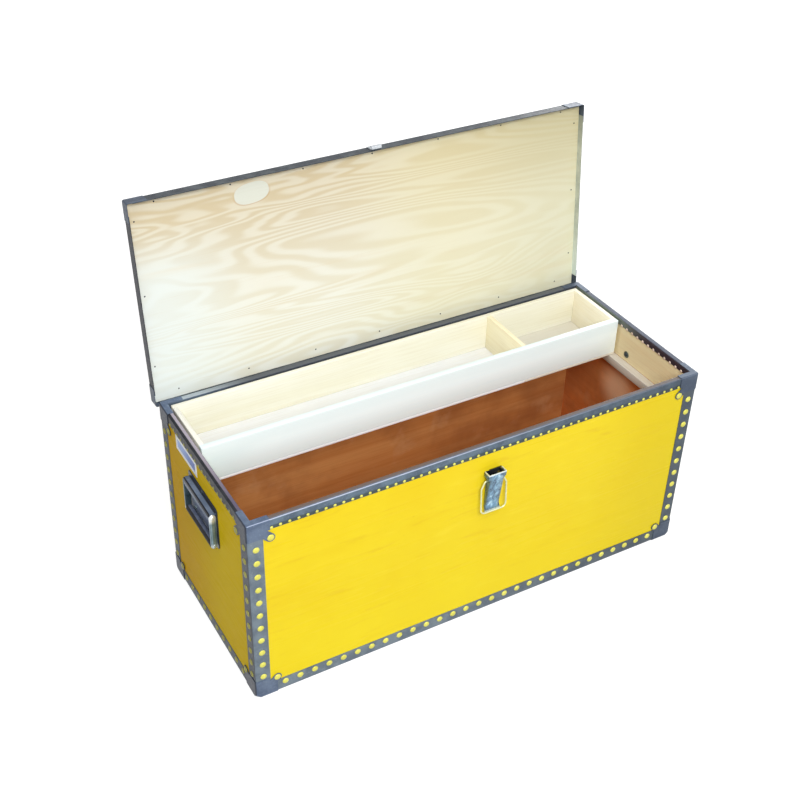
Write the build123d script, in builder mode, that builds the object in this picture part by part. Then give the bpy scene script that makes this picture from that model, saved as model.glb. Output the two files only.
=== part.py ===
"""A chuck box: a plywood chest bound in sheet steel, with a hinged lid, a sliding tray, a draw latch and two handles.

Millimetres. The chest stands on Z = 0 with the middle of its floor at the origin: X runs along its length, the
front faces -Y and the hinges are at the back. It is drawn with the lid open, the latch unhooked, the tray at the
back and both handles down.
"""

import os

from build123d import *

os.makedirs("parts", exist_ok=True)

# Chest: outside sizes over the steel binding.
case_length = 914.0
case_width = 378.0
case_height = 398.0  # floor to the top of the rim
ply = 9.5  # walls, floor and lid
steel = 1.0  # binding angles and rim channels
cap_steel = 1.2  # pressed corner pieces, which lie over the binding
edge_radius = 4.0  # outside bend of the corner and bottom angles
rim_radius = 2.0  # outside bend of the rim channels
angle_leg = 28.0  # corner and bottom angles
rim_outer_depth = 20.0
rim_inner_depth = 13.0
joint_gap = 0.3  # between binding pieces that meet
hidden_end = 20.0  # how far short of the corner a bottom angle stops, under its cap
channel_end = 6.0  # how far short of the corner a long rim channel stops, under its bracket
origin_back = 27.6  # the origin is the middle of the open box's footprint, behind the chest's middle

# Pressed corner pieces.
bracket_reach = 42.0  # along the rim, from the corner
bracket_drop = 35.0  # down the corner
cap_reach = 42.0  # bottom corners, along each edge
ear_in = 42.0  # rivet ear, from the side edge
ear_off = 38.0  # rivet ear, from the top or bottom edge
ear_radius = 8.0
ball_radius = 36.5  # rounds off each bottom corner
ball_inset = 25.0  # centre of that rounding, from the three outside faces
press_depth = 6.5  # outlines are cut this deep out of the pressed shell
bend_share = 0.57  # of a bend's radius: a chamfer this long inside a pressed corner stays clear of the bend under it
block_size = 90.0  # blocks the pressed corners are cut from
floor_corner_radius = 12.0  # eases the floor's corners inside the rounding

# Rivets.
rivet_radius = 4.5
rivet_height = 2.2
rivet_sides = 8
rivet_taper = 28.0  # degrees
long_row_count = 29
end_row_count = 10
post_row_count = 11
row_start = 56.0  # first rivet of a bottom row, from the corner
row_rise = 19.5  # bottom rows, above the bottom edge
post_row_in = 15.0  # upright rows, from the side edge
post_row_start = 51.0  # first and last rivet of an upright row, from the bottom edge and from the rim
post_row_stop = 54.0

# Tray on its cleats.
cleat_drop = 81.0  # cleat top, below the rim
cleat_height = 18.0
cleat_depth = 17.0
tray_seat = 0.3  # clearance between tray and cleats
tray_width = 143.0  # front to back
tray_drop = 2.0  # tray top, below the rim
tray_board = 12.0  # front board
tray_thin_board = 9.0  # back, ends and divider
tray_floor_ply = 5.0
tray_end_play = 5.5  # to each end wall, past the handle rivets
tray_back_play = 3.5  # to the back rim
divider_place = 224.0  # middle of the divider, along the tray

# Lid and hinges.
lid_open_angle = 95.9  # from closed
lid_play = 0.6  # between lid binding and corner brackets
lid_rest = 0.4  # between lid panel and corner brackets when closed
lid_leg = 24.3  # height of the lid binding, outside
lid_top_leg = 22.0  # its leg over the top of the panel
lid_bend = 2.0
lid_cap_steel = 1.0
lid_cap_reach = 36.0
lid_cap_radius = 3.5  # rounded corner, seen from above
lid_channel_end = 10.0  # how far short of the corner a long lid angle stops, under its cap
hinge_drop = 16.0  # pin below the rim
hinge_back = 4.8  # pin behind the rim
hinge_place = 320.0  # each hinge, from the middle
hinge_length = 52.0
hinge_leaf = 1.5
knuckle_radius = 3.5
knuckle_count = 3
knuckle_gap = 0.4
pin_radius = 1.6
pin_play = 0.08
pin_head_radius = 2.6
pin_head = 1.2
leaf_drop = 30.0  # body leaf, below the pin
lid_leaf_rise = 20.0  # lid leaf, above the pin when closed
stop_width = 18.0  # stop finger of the body leaf
stop_play = 0.25
stop_inner = 8.0  # the finger bears on the lid leaf from here
stop_outer = 16.0  # to here, behind the pin
stop_steel = 2.0
stop_root = 16.5  # where the finger leaves the leaf, below the pin

# Draw latch, on the front.
latch_place = 6.0  # middle of the latch, along X
latch_drop = 54.0  # top of the lever, below the rim
lever_length = 90.0
latch_wall = 1.5
latch_head = 36.0  # width of the lever across its head
latch_head_drop = 11.0  # height of that head
latch_shoulder = 5.0
latch_waist = 28.0
latch_flare = 32.0  # width across the finger lip
latch_flare_rise = 18.0
lever_depth = 19.0  # stands off the panel at the head
lever_depth_low = 7.5  # and above the lip
lip_rise = 12.0
lip_depth = 11.0
lever_back = 4.0  # rear edge of its side walls, off the panel
lever_pin_drop = 7.5  # below the lever's top
lever_pin_off = 12.5
lever_pin_radius = 2.0
lever_pin_head = 1.2
lever_pin_head_radius = 3.4
base_ear_gap = 0.6  # between lever walls and base ears
base_ear_radius = 3.5
base_plate_width = 21.0
base_lift = 12.0  # base plate's lower end, above the lever's
bail_pivot_drop = 20.0  # below the lever's top
bail_pivot_off = 8.0
bail_wire = 1.5  # radius
bail_slack = 1.0  # between the latched bail and the keeper's ledge
bail_side_gap = 8.0  # from the lever's head to the middle of the wire beside it
bail_neck_gap = 4.5  # from the lever's waist to the middle of the wire where it turns up
bail_shoulder = 14.0
bail_neck_bend = 3.0
bail_foot_bend = 9.0
bail_rest_angle = 4.0  # hangs in front of the finger lip
bail_end = 1.0  # its ends stand this far inside the lever's walls
bail_hole_play = 0.08
keeper_width = 20.0
keeper_plate = 1.5
keeper_height = 20.0
keeper_drop = 22.1  # underside of the hook, below the lid's top
keeper_lip = 6.0
keeper_throat = 4.2
keeper_bend = 2.2
keeper_rivet_rise = 15.5  # above the underside of the hook
keeper_rivet_place = 5.5  # from the keeper's middle
latch_rivet_head_radius = 3.0
latch_rivet_head = 1.0
latch_rivet_drops = (18.0, 46.0, 72.0)  # below the lever's top

# Chest handles.
handle_half_width = 63.0
handle_drop = 61.0  # plate's top, below the rim
handle_height = 88.0
handle_plate = 1.5
handle_corner = 6.0
hump_half_width = 56.0
hump_drop = 9.0  # ledge, below the plate's top
hump_height = 13.0  # its outer wall
hump_slant = 7.0  # from that wall's lower edge down to the plate
hump_depth = 14.0
handle_pivot_drop = 16.5  # below the plate's top
handle_pivot_off = 8.2
rod_radius = 2.75
arm_gap = 0.5  # between hump and arms
arm_thickness = 3.0
arm_radius = 6.0
arm_reach = 62.0  # pivot to grip
grip_rod_radius = 3.0
grip_radius = 6.5
grip_play = 0.15
through_rivet_drop = 5.0  # below the plate's top
through_rivet_head = 3.9
washer_radius = 7.0
washer_sides = 16
washer_thickness = 1.2
tail_radius = 4.0
tail_height = 1.6
screw_place = 38.0  # handle screws, from the middle
screw_rise = 35.0  # above the plate's lower edge
screw_low_rise = 21.0
screw_head_radius = 4.0
screw_head = 1.8

# Derived from the sizes above.
half_length = case_length / 2
half_width = case_width / 2
ply_x = half_length - steel  # outside faces of the plywood
ply_y = half_width - steel
inner_x = ply_x - ply  # inside faces
inner_y = ply_y - ply
ply_edge_radius = edge_radius - steel
ply_top_radius = rim_radius - steel
base_z = cap_steel  # underside of the bottom angles
floor_bottom = base_z + steel
floor_top = floor_bottom + ply
wall_top = case_height - steel
cap_x = half_length + cap_steel  # outside faces of the pressed corners
cap_y = half_width + cap_steel
cap_top = case_height + cap_steel
rim_width = ply + 2 * steel
lid_x = cap_x + lid_play  # inside faces of the lid binding
lid_y = cap_y + lid_play
lid_bottom = cap_top + lid_rest
lid_ply_top = lid_bottom + ply
lid_top = lid_ply_top + steel
cleat_top = case_height - cleat_drop
tray_top = case_height - tray_drop
latch_top = case_height - latch_drop
latch_bottom = latch_top - lever_length
lever_pin_height = latch_top - lever_pin_drop
bail_pivot_height = latch_top - bail_pivot_drop
base_bottom = latch_bottom + base_lift
latch_rivet_heights = [latch_top - drop for drop in latch_rivet_drops]
keeper_ledge = lid_top - keeper_drop
keeper_rivet_height = keeper_ledge + keeper_rivet_rise
bail_half_width = latch_head / 2 + bail_side_gap
bail_neck = latch_waist / 2 + bail_neck_gap
bail_inside = latch_waist / 2 - latch_wall - bail_end
bail_reach = keeper_ledge + keeper_plate + bail_slack + bail_wire - bail_pivot_height
handle_top = case_height - handle_drop
handle_bottom = handle_top - handle_height
hump_top = handle_top - hump_drop
hump_front = hump_top - hump_height
hump_foot = hump_front - hump_slant
handle_pivot_height = handle_top - handle_pivot_drop
through_rivet_height = handle_top - through_rivet_drop
screw_height = handle_bottom + screw_rise
screw_low_height = handle_bottom + screw_low_rise
pin_y = half_width + hinge_back
pin_z = case_height - hinge_drop
sides = {"left": -1, "right": 1}
faces = {"front": -1, "back": 1}


def write(builder, name):
    """Bring a finished piece to the part's own origin, label it and write it."""
    piece = Location((0, -origin_back, 0)) * builder.part
    piece.label = name
    export_step(piece, f"parts/{name}.step")


def row(first, last, count):
    """Evenly spaced places from first to last."""
    return [first + (last - first) * index / (count - 1) for index in range(count)]


# ---------------------------------------------------------------- plywood chest

with BuildPart() as floor_panel:
    with BuildSketch(Plane.XY.offset(floor_bottom)):
        RectangleRounded(2 * ply_x, 2 * ply_y, floor_corner_radius)
    extrude(amount=ply)
    chamfer(floor_panel.faces().sort_by(Axis.Z)[0].edges(), ply_edge_radius)
write(floor_panel, "floor_panel")

for face, toward in faces.items():
    with BuildPart() as long_wall:
        with BuildSketch(Plane.XY.offset(floor_top)):
            RectangleRounded(2 * ply_x, 2 * ply_y, ply_edge_radius)
            with Locations((0, toward * (ply_y - ply / 2))):
                Rectangle(case_length, ply, mode=Mode.INTERSECT)
        extrude(amount=wall_top - floor_top)
        top_edges = long_wall.faces().sort_by(Axis.Z)[-1].edges().filter_by(Axis.X)
        chamfer(top_edges, ply_top_radius)
    write(long_wall, f"{face}_panel")

for side, toward in sides.items():
    with BuildPart() as end_wall:
        with BuildSketch(Plane.XY.offset(floor_top)):
            with Locations((toward * (ply_x - ply / 2), 0)):
                Rectangle(ply, 2 * inner_y)
        extrude(amount=wall_top - floor_top)
        chamfer(end_wall.faces().sort_by(Axis.Z)[-1].edges().filter_by(Axis.Y), ply_top_radius)
    write(end_wall, f"{side}_end_panel")

# ---------------------------------------------------------------- steel binding

for face, toward_y in faces.items():
    for side, toward_x in sides.items():
        with BuildPart() as corner_angle:
            with BuildSketch(Plane.XY.offset(base_z + angle_leg + joint_gap)):
                RectangleRounded(case_length, case_width, edge_radius)
                RectangleRounded(2 * ply_x, 2 * ply_y, ply_edge_radius, mode=Mode.SUBTRACT)
                with Locations((toward_x * (half_length - angle_leg / 2), toward_y * (half_width - angle_leg / 2))):
                    Rectangle(angle_leg, angle_leg, mode=Mode.INTERSECT)
            extrude(amount=case_height - rim_outer_depth - base_z - angle_leg - 2 * joint_gap)
        write(corner_angle, f"corner_angle_{face}_{side}")

for face, toward in faces.items():
    outward = Plane(origin=(0, 0, 0), x_dir=(0, toward, 0), z_dir=(toward, 0, 0))
    with BuildPart() as bottom_angle:
        with BuildSketch(outward):
            with BuildLine():
                FilletPolyline(
                    (half_width, base_z + angle_leg),
                    (half_width, base_z),
                    (half_width - angle_leg, base_z),
                    radius=edge_radius,
                )
                offset(amount=steel, side=Side.RIGHT)
            make_face()
        extrude(amount=half_length - hidden_end, both=True)
    write(bottom_angle, f"bottom_angle_{face}")
    with BuildPart() as rim_channel:
        with BuildSketch(outward):
            with BuildLine():
                FilletPolyline(
                    (half_width, case_height - rim_outer_depth),
                    (half_width, case_height),
                    (half_width - rim_width, case_height),
                    (half_width - rim_width, case_height - rim_inner_depth),
                    radius=rim_radius,
                )
                offset(amount=steel, side=Side.LEFT)
            make_face()
        extrude(amount=half_length - channel_end, both=True)
        with BuildSketch(Plane.XY.offset(case_height - rim_outer_depth)):
            for toward_x in sides.values():
                with Locations((toward_x * half_length, toward * inner_y)):
                    Rectangle(2 * (rim_width + joint_gap), 2 * (steel + joint_gap))
        extrude(amount=wall_top - case_height + rim_outer_depth, mode=Mode.SUBTRACT)
    write(rim_channel, f"rim_channel_{face}")

for side, toward in sides.items():
    outward = Plane(origin=(0, 0, 0), x_dir=(toward, 0, 0), z_dir=(0, -toward, 0))
    with BuildPart() as bottom_angle:
        with BuildSketch(outward):
            with BuildLine():
                FilletPolyline(
                    (half_length, base_z + angle_leg),
                    (half_length, base_z),
                    (half_length - angle_leg, base_z),
                    radius=edge_radius,
                )
                offset(amount=steel, side=Side.RIGHT)
            make_face()
        extrude(amount=half_width - angle_leg - joint_gap, both=True)
    write(bottom_angle, f"bottom_angle_{side}")
    with BuildPart() as rim_channel:
        with BuildSketch(outward):
            with BuildLine():
                FilletPolyline(
                    (half_length, case_height - rim_outer_depth),
                    (half_length, case_height),
                    (half_length - rim_width, case_height),
                    (half_length - rim_width, case_height - rim_inner_depth),
                    radius=rim_radius,
                )
                offset(amount=steel, side=Side.LEFT)
            make_face()
        extrude(amount=half_width - rim_width - joint_gap, both=True)
    write(rim_channel, f"rim_channel_{side}")


# ---------------------------------------------------------------- pressed corner pieces


def rounded_block(outside, upright_radius, edge, up, ease=fillet):
    """A block with its rounded outside corner at outside = (x, y, z); up is 1 where that corner is on top."""
    x, y, z = outside
    inward_x = -1 if x > 0 else 1
    inward_y = -1 if y > 0 else 1
    with BuildPart() as block:
        with Locations((x + inward_x * block_size / 2, y + inward_y * block_size / 2, z - up * block_size / 2)):
            Box(block_size, block_size, block_size)
        fillet(block.edges().filter_by(Axis.Z).sort_by_distance(outside)[0], upright_radius)
        end_face = block.faces().filter_by(Axis.Z).sort_by_distance(outside)[0]
        ease(end_face.edges().sort_by_distance(outside)[0:3], edge)
    return block.part


def ball_cut(outside, radius):
    """What a ball leaves of the block around a bottom corner."""
    x, y, z = outside
    inward_x = -1 if x > 0 else 1
    inward_y = -1 if y > 0 else 1
    center = (x + inward_x * ball_inset, y + inward_y * ball_inset, z + ball_inset)
    with BuildPart() as cut:
        with Locations((x + inward_x * ball_inset / 2, y + inward_y * ball_inset / 2, z + ball_inset / 2)):
            Box(ball_inset, ball_inset, ball_inset)
        with Locations(center):
            Sphere(radius, mode=Mode.SUBTRACT)
    return cut.part


def corner_piece(outside, up, shell, face_outline, flat_outline):
    """A pressed corner: shell cut to face_outline on both upright faces and to flat_outline on the flat one."""
    x, y, z = outside
    inward_x = -1 if x > 0 else 1
    inward_y = -1 if y > 0 else 1
    long_plane = Plane(origin=outside, x_dir=(inward_x, 0, 0), z_dir=(0, up * inward_x, 0))
    end_plane = Plane(origin=outside, x_dir=(0, inward_y, 0), z_dir=(-up * inward_y, 0, 0))
    flat_plane = Plane(origin=outside, x_dir=(inward_x, 0, 0), z_dir=(0, 0, inward_x * inward_y))
    with BuildPart() as piece:
        for upright_plane in (long_plane, end_plane):
            with BuildSketch(upright_plane):
                face_outline()
            extrude(amount=press_depth, both=True)
        with BuildSketch(flat_plane):
            flat_outline()
        extrude(amount=press_depth, both=True)
        add(shell, mode=Mode.INTERSECT)
    return piece


def ear():
    """A round rivet ear on a diagonal neck; the sketch's origin is the corner."""
    neck = ear_in - angle_leg / 2
    with Locations((ear_in - neck / 2, ear_off - neck / 2)):
        SlotCenterToCenter(neck * 2**0.5, 2 * ear_radius, rotation=45)


def bracket_face():
    """A top bracket on the front, back or end."""
    Rectangle(bracket_reach, rim_outer_depth + cap_steel, align=(Align.MIN, Align.MIN))
    Rectangle(angle_leg, bracket_drop, align=(Align.MIN, Align.MIN))
    ear()


def bracket_flat():
    """A top bracket over the rim."""
    Rectangle(bracket_reach, rim_width + cap_steel, align=(Align.MIN, Align.MIN))
    Rectangle(rim_width + cap_steel, bracket_reach, align=(Align.MIN, Align.MIN))


def cap_face():
    """A bottom cap on the front, back or end."""
    Rectangle(cap_reach, angle_leg, align=(Align.MIN, Align.MIN))
    Rectangle(angle_leg, cap_reach, align=(Align.MIN, Align.MIN))
    ear()


def cap_flat():
    """A bottom cap under the chest."""
    Polygon((0, 0), (cap_reach, 0), (cap_reach, angle_leg), (angle_leg, cap_reach), (0, cap_reach), align=None)


def lid_cap_face():
    """A lid corner on the lid's upright binding."""
    Rectangle(lid_cap_reach, lid_leg + lid_cap_steel, align=(Align.MIN, Align.MIN))


def lid_cap_flat():
    """A lid corner over the lid's top."""
    Polygon(
        (0, 0),
        (lid_cap_reach, 0),
        (lid_cap_reach, lid_top_leg),
        (lid_top_leg, lid_cap_reach),
        (0, lid_cap_reach),
        align=None,
    )


for face, toward_y in faces.items():
    for side, toward_x in sides.items():
        top_corner = (toward_x * cap_x, toward_y * cap_y, cap_top)
        top_inside = (toward_x * half_length, toward_y * half_width, case_height)
        bracket_shell = rounded_block(top_corner, edge_radius + cap_steel, rim_radius + cap_steel, 1) - rounded_block(
            top_inside, edge_radius, bend_share * rim_radius, 1, chamfer
        )
        top_bracket = corner_piece(top_corner, 1, bracket_shell, bracket_face, bracket_flat)
        write(top_bracket, f"top_bracket_{face}_{side}")
        low_corner = (toward_x * cap_x, toward_y * cap_y, 0)
        low_inside = (toward_x * half_length, toward_y * half_width, base_z)
        outer_block = rounded_block(low_corner, edge_radius + cap_steel, edge_radius + cap_steel, -1)
        inner_block = rounded_block(low_inside, edge_radius, bend_share * edge_radius, -1, chamfer)
        cap_shell = (outer_block - ball_cut(low_corner, ball_radius)) - (
            inner_block - ball_cut(low_corner, ball_radius - cap_steel)
        )
        bottom_cap = corner_piece(low_corner, -1, cap_shell, cap_face, cap_flat)
        write(bottom_cap, f"bottom_cap_{face}_{side}")

# ---------------------------------------------------------------- rivets of the chest

with BuildPart() as binding_rivets:
    for toward in faces.values():
        with BuildSketch(Plane(origin=(0, toward * half_width, 0), x_dir=(-toward, 0, 0), z_dir=(0, toward, 0))):
            low_row = row(-half_length + row_start, half_length - row_start, long_row_count)
            with Locations(*[(place, row_rise) for place in low_row]):
                RegularPolygon(rivet_radius, rivet_sides)
            for height in row(post_row_start, case_height - post_row_stop, post_row_count):
                with Locations((post_row_in - half_length, height), (half_length - post_row_in, height)):
                    RegularPolygon(rivet_radius, rivet_sides)
        extrude(amount=rivet_height, taper=rivet_taper)
    for toward in sides.values():
        with BuildSketch(Plane(origin=(toward * half_length, 0, 0), x_dir=(0, toward, 0), z_dir=(toward, 0, 0))):
            low_row = row(-half_width + row_start, half_width - row_start, end_row_count)
            with Locations(*[(place, row_rise) for place in low_row]):
                RegularPolygon(rivet_radius, rivet_sides)
            for height in row(post_row_start, case_height - post_row_stop, post_row_count):
                with Locations((post_row_in - half_width, height), (half_width - post_row_in, height)):
                    RegularPolygon(rivet_radius, rivet_sides)
        extrude(amount=rivet_height, taper=rivet_taper)
write(binding_rivets, "binding_rivets")

with BuildPart() as corner_rivets:
    for toward in faces.values():
        with BuildSketch(Plane(origin=(0, toward * cap_y, 0), x_dir=(-toward, 0, 0), z_dir=(0, toward, 0))):
            for place in (ear_in - cap_x, cap_x - ear_in):
                with Locations((place, ear_off), (place, cap_top - ear_off)):
                    RegularPolygon(rivet_radius, rivet_sides)
        extrude(amount=rivet_height, taper=rivet_taper)
    for toward in sides.values():
        with BuildSketch(Plane(origin=(toward * cap_x, 0, 0), x_dir=(0, toward, 0), z_dir=(toward, 0, 0))):
            for place in (ear_in - cap_y, cap_y - ear_in):
                with Locations((place, ear_off), (place, cap_top - ear_off)):
                    RegularPolygon(rivet_radius, rivet_sides)
        extrude(amount=rivet_height, taper=rivet_taper)
write(corner_rivets, "corner_rivets")

# ---------------------------------------------------------------- sliding tray

for side, toward in sides.items():
    with BuildPart() as cleat:
        with BuildSketch(Plane.XY.offset(cleat_top - cleat_height)):
            with Locations((toward * (inner_x - cleat_depth / 2), 0)):
                Rectangle(cleat_depth, 2 * inner_y)
        extrude(amount=cleat_height)
    write(cleat, f"tray_cleat_{side}")

tray_half_length = inner_x - tray_end_play
tray_back_y = half_width - rim_width - tray_back_play
tray_front_y = tray_back_y - tray_width
tray_low = cleat_top + tray_seat
tray_base = tray_low + tray_floor_ply
tray_inside_front = tray_front_y + tray_board
tray_inside_back = tray_back_y - tray_thin_board
tray_inside_middle = (tray_inside_front + tray_inside_back) / 2
tray_inside_width = tray_inside_back - tray_inside_front

with BuildPart() as tray_floor:
    with BuildSketch(Plane.XY.offset(tray_low)):
        with Locations((0, tray_front_y + tray_width / 2)):
            Rectangle(2 * tray_half_length, tray_width)
    extrude(amount=tray_floor_ply)
write(tray_floor, "tray_floor")

with BuildPart() as tray_front:
    with BuildSketch(Plane.XY.offset(tray_base)):
        with Locations((0, tray_front_y + tray_board / 2)):
            Rectangle(2 * tray_half_length, tray_board)
    extrude(amount=tray_top - tray_base)
write(tray_front, "tray_front")

with BuildPart() as tray_back:
    with BuildSketch(Plane.XY.offset(tray_base)):
        with Locations((0, tray_back_y - tray_thin_board / 2)):
            Rectangle(2 * tray_half_length, tray_thin_board)
    extrude(amount=tray_top - tray_base)
write(tray_back, "tray_back")

tray_cross_places = {
    "tray_left_end": tray_thin_board / 2 - tray_half_length,
    "tray_right_end": tray_half_length - tray_thin_board / 2,
    "tray_divider": divider_place,
}
for name, place in tray_cross_places.items():
    with BuildPart() as cross_board:
        with BuildSketch(Plane.XY.offset(tray_base)):
            with Locations((place, tray_inside_middle)):
                Rectangle(tray_thin_board, tray_inside_width)
        extrude(amount=tray_top - tray_base)
    write(cross_board, name)

# ---------------------------------------------------------------- lid, drawn shut and swung open about the pins

lid_swing = Location((0, pin_y, pin_z)) * Location((0, 0, 0), (-lid_open_angle, 0, 0)) * Location((0, -pin_y, -pin_z))
lid_outer_x = lid_x + steel
lid_outer_y = lid_y + steel


def on_lid(plane):
    """A plane of the shut lid, carried to where the open lid has it."""
    return Plane(
        origin=(lid_swing * Location(plane.origin)).position,
        x_dir=plane.x_dir.rotate(Axis.X, -lid_open_angle),
        z_dir=plane.z_dir.rotate(Axis.X, -lid_open_angle),
    )


keeper_front = on_lid(Plane(origin=(latch_place, -lid_outer_y, 0), x_dir=(1, 0, 0), z_dir=(0, -1, 0)))

with BuildPart() as lid_panel:
    with BuildSketch(on_lid(Plane.XY.offset(lid_bottom))):
        RectangleRounded(2 * lid_x, 2 * lid_y, lid_cap_radius - lid_cap_steel - steel)
    extrude(amount=ply)
    upper_face = lid_panel.faces().sort_by(Axis((0, 0, 0), on_lid(Plane.XY).z_dir))[-1]
    chamfer(upper_face.edges(), lid_bend - steel)
write(lid_panel, "lid_panel")

for face, toward in faces.items():
    with BuildPart() as lid_edge:
        with BuildSketch(on_lid(Plane(origin=(0, 0, 0), x_dir=(0, toward, 0), z_dir=(toward, 0, 0)))):
            with BuildLine():
                FilletPolyline(
                    (lid_outer_y, lid_top - lid_leg),
                    (lid_outer_y, lid_top),
                    (lid_outer_y - lid_top_leg, lid_top),
                    radius=lid_bend,
                )
                offset(amount=steel, side=Side.LEFT)
            make_face()
        extrude(amount=lid_outer_x - lid_channel_end, both=True)
    write(lid_edge, f"lid_edge_{face}")

for side, toward in sides.items():
    with BuildPart() as lid_edge:
        with BuildSketch(on_lid(Plane(origin=(0, 0, 0), x_dir=(toward, 0, 0), z_dir=(0, -toward, 0)))):
            with BuildLine():
                FilletPolyline(
                    (lid_outer_x, lid_top - lid_leg),
                    (lid_outer_x, lid_top),
                    (lid_outer_x - lid_top_leg, lid_top),
                    radius=lid_bend,
                )
                offset(amount=steel, side=Side.LEFT)
            make_face()
        extrude(amount=lid_outer_y - lid_top_leg - joint_gap, both=True)
    write(lid_edge, f"lid_edge_{side}")

with BuildPart() as lid_corners:
    for toward_y in faces.values():
        for toward_x in sides.values():
            cap_corner = (
                toward_x * (lid_outer_x + lid_cap_steel),
                toward_y * (lid_outer_y + lid_cap_steel),
                lid_top + lid_cap_steel,
            )
            cap_inside = (toward_x * lid_outer_x, toward_y * lid_outer_y, lid_top)
            outer_block = rounded_block(cap_corner, lid_cap_radius, lid_bend + lid_cap_steel, 1)
            inner_block = rounded_block(
                cap_inside, lid_cap_radius - lid_cap_steel, bend_share * lid_bend, 1, chamfer
            )
            lid_cap = corner_piece(cap_corner, 1, outer_block - inner_block, lid_cap_face, lid_cap_flat)
            add(lid_swing * lid_cap.part)
write(lid_corners, "lid_corners")

# ---------------------------------------------------------------- hinges with stop fingers

knuckle_length = (hinge_length - (knuckle_count - 1) * knuckle_gap) / knuckle_count
knuckle_starts = [index * (knuckle_length + knuckle_gap) - hinge_length / 2 for index in range(knuckle_count)]
knuckle_clear = knuckle_radius + knuckle_gap * 2
body_leaf_back = half_width - pin_y  # leaf faces, from the pin
body_leaf_front = body_leaf_back + hinge_leaf
lid_leaf_back = lid_outer_y - pin_y
lid_leaf_front = lid_leaf_back + hinge_leaf
hinge_centers = (-hinge_place, hinge_place)


def hinge_section(place):
    """A section across the pin, square to it, at place along X."""
    return Plane(origin=(place, pin_y, pin_z), x_dir=(0, 1, 0), z_dir=(1, 0, 0))


def swung(along, off):
    """Where a point of the shut lid's leaf lies across the pin once the lid is open."""
    point = lid_swing * Location((0, pin_y + off, pin_z + along))
    return (point.position.Y - pin_y, point.position.Z - pin_z)


with BuildPart() as hinge_leaves_body:
    for center in hinge_centers:
        with BuildSketch(hinge_section(center)):
            with Locations(((body_leaf_back + body_leaf_front) / 2, -(leaf_drop + knuckle_clear) / 2)):
                Rectangle(hinge_leaf, leaf_drop - knuckle_clear)
        extrude(amount=hinge_length / 2, both=True)
        for start in knuckle_starts[::2]:
            with BuildSketch(hinge_section(center + start)):
                Polygon(
                    (body_leaf_back, 0),
                    (0, 0),
                    (0, -knuckle_radius),
                    (body_leaf_front, -knuckle_clear),
                    (body_leaf_back, -knuckle_clear),
                    align=None,
                )
                Circle(knuckle_radius)
                Circle(pin_radius + pin_play, mode=Mode.SUBTRACT)
            extrude(amount=knuckle_length)
        with BuildSketch(hinge_section(center)):
            with BuildLine():
                Polyline(
                    (body_leaf_back + hinge_leaf / 2, -stop_root),
                    swung(stop_inner, lid_leaf_front + stop_play),
                    swung(stop_outer, lid_leaf_front + stop_play),
                )
                offset(amount=stop_steel, side=Side.RIGHT)
            make_face()
        extrude(amount=stop_width / 2, both=True)
write(hinge_leaves_body, "hinge_leaves_body")

with BuildPart() as hinge_leaves_lid:
    for center in hinge_centers:
        with BuildSketch(on_lid(hinge_section(center))):
            with Locations(((lid_leaf_back + lid_leaf_front) / 2, (lid_leaf_rise + knuckle_clear) / 2)):
                Rectangle(hinge_leaf, lid_leaf_rise - knuckle_clear)
        extrude(amount=hinge_length / 2, both=True)
        for start in knuckle_starts[1::2]:
            with BuildSketch(on_lid(hinge_section(center + start))):
                with Locations(((lid_leaf_back + lid_leaf_front) / 2, knuckle_clear / 2)):
                    Rectangle(hinge_leaf, knuckle_clear)
                Circle(knuckle_radius)
                Circle(pin_radius + pin_play, mode=Mode.SUBTRACT)
            extrude(amount=knuckle_length)
write(hinge_leaves_lid, "hinge_leaves_lid")

with BuildPart() as hinge_pins:
    for center in hinge_centers:
        with BuildSketch(hinge_section(center)):
            Circle(pin_radius)
        extrude(amount=hinge_length / 2 + pin_head, both=True)
        for start, thickness in ((-hinge_length / 2, -pin_head), (hinge_length / 2, pin_head)):
            with BuildSketch(hinge_section(center + start)):
                RegularPolygon(pin_head_radius, washer_sides)
            extrude(amount=thickness)
write(hinge_pins, "hinge_pins")

# ---------------------------------------------------------------- draw latch

latch_front = Plane(origin=(latch_place, -ply_y, 0), x_dir=(1, 0, 0), z_dir=(0, -1, 0))
latch_side = Plane(origin=(latch_place, -ply_y, 0), x_dir=(0, -1, 0), z_dir=(-1, 0, 0))
lip_bend_height = latch_bottom + lip_rise
ear_outer = latch_head / 2 - latch_wall - base_ear_gap


def lever_outline(inset, beyond):
    """The lever seen from the front, inset all round and running on beyond its ends."""
    head = latch_head / 2 - inset
    waist = latch_waist / 2 - inset
    flare = latch_flare / 2 - inset
    edge_points = [
        (head, latch_top + beyond),
        (head, latch_top - latch_head_drop),
        (waist, latch_top - latch_head_drop - latch_shoulder),
        (waist, latch_bottom + latch_flare_rise),
        (flare, latch_bottom),
        (flare, latch_bottom - beyond),
    ]
    if not beyond:
        edge_points.pop()
    Polygon(*edge_points, *[(-across, height) for across, height in reversed(edge_points)], align=None)


with BuildPart() as lever_hollow:
    with BuildSketch(latch_side):
        Polygon(
            (0, latch_top + latch_wall),
            (lever_depth - latch_wall, latch_top + latch_wall),
            (lever_depth - latch_wall, latch_top),
            (lever_depth_low - latch_wall, lip_bend_height),
            (lip_depth - latch_wall, latch_bottom),
            (lip_depth - latch_wall, latch_bottom - latch_wall),
            (0, latch_bottom - latch_wall),
            align=None,
        )
    extrude(amount=latch_head, both=True)
    with BuildSketch(latch_front):
        lever_outline(latch_wall, latch_wall)
    extrude(amount=2 * lever_depth, mode=Mode.INTERSECT)

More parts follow.
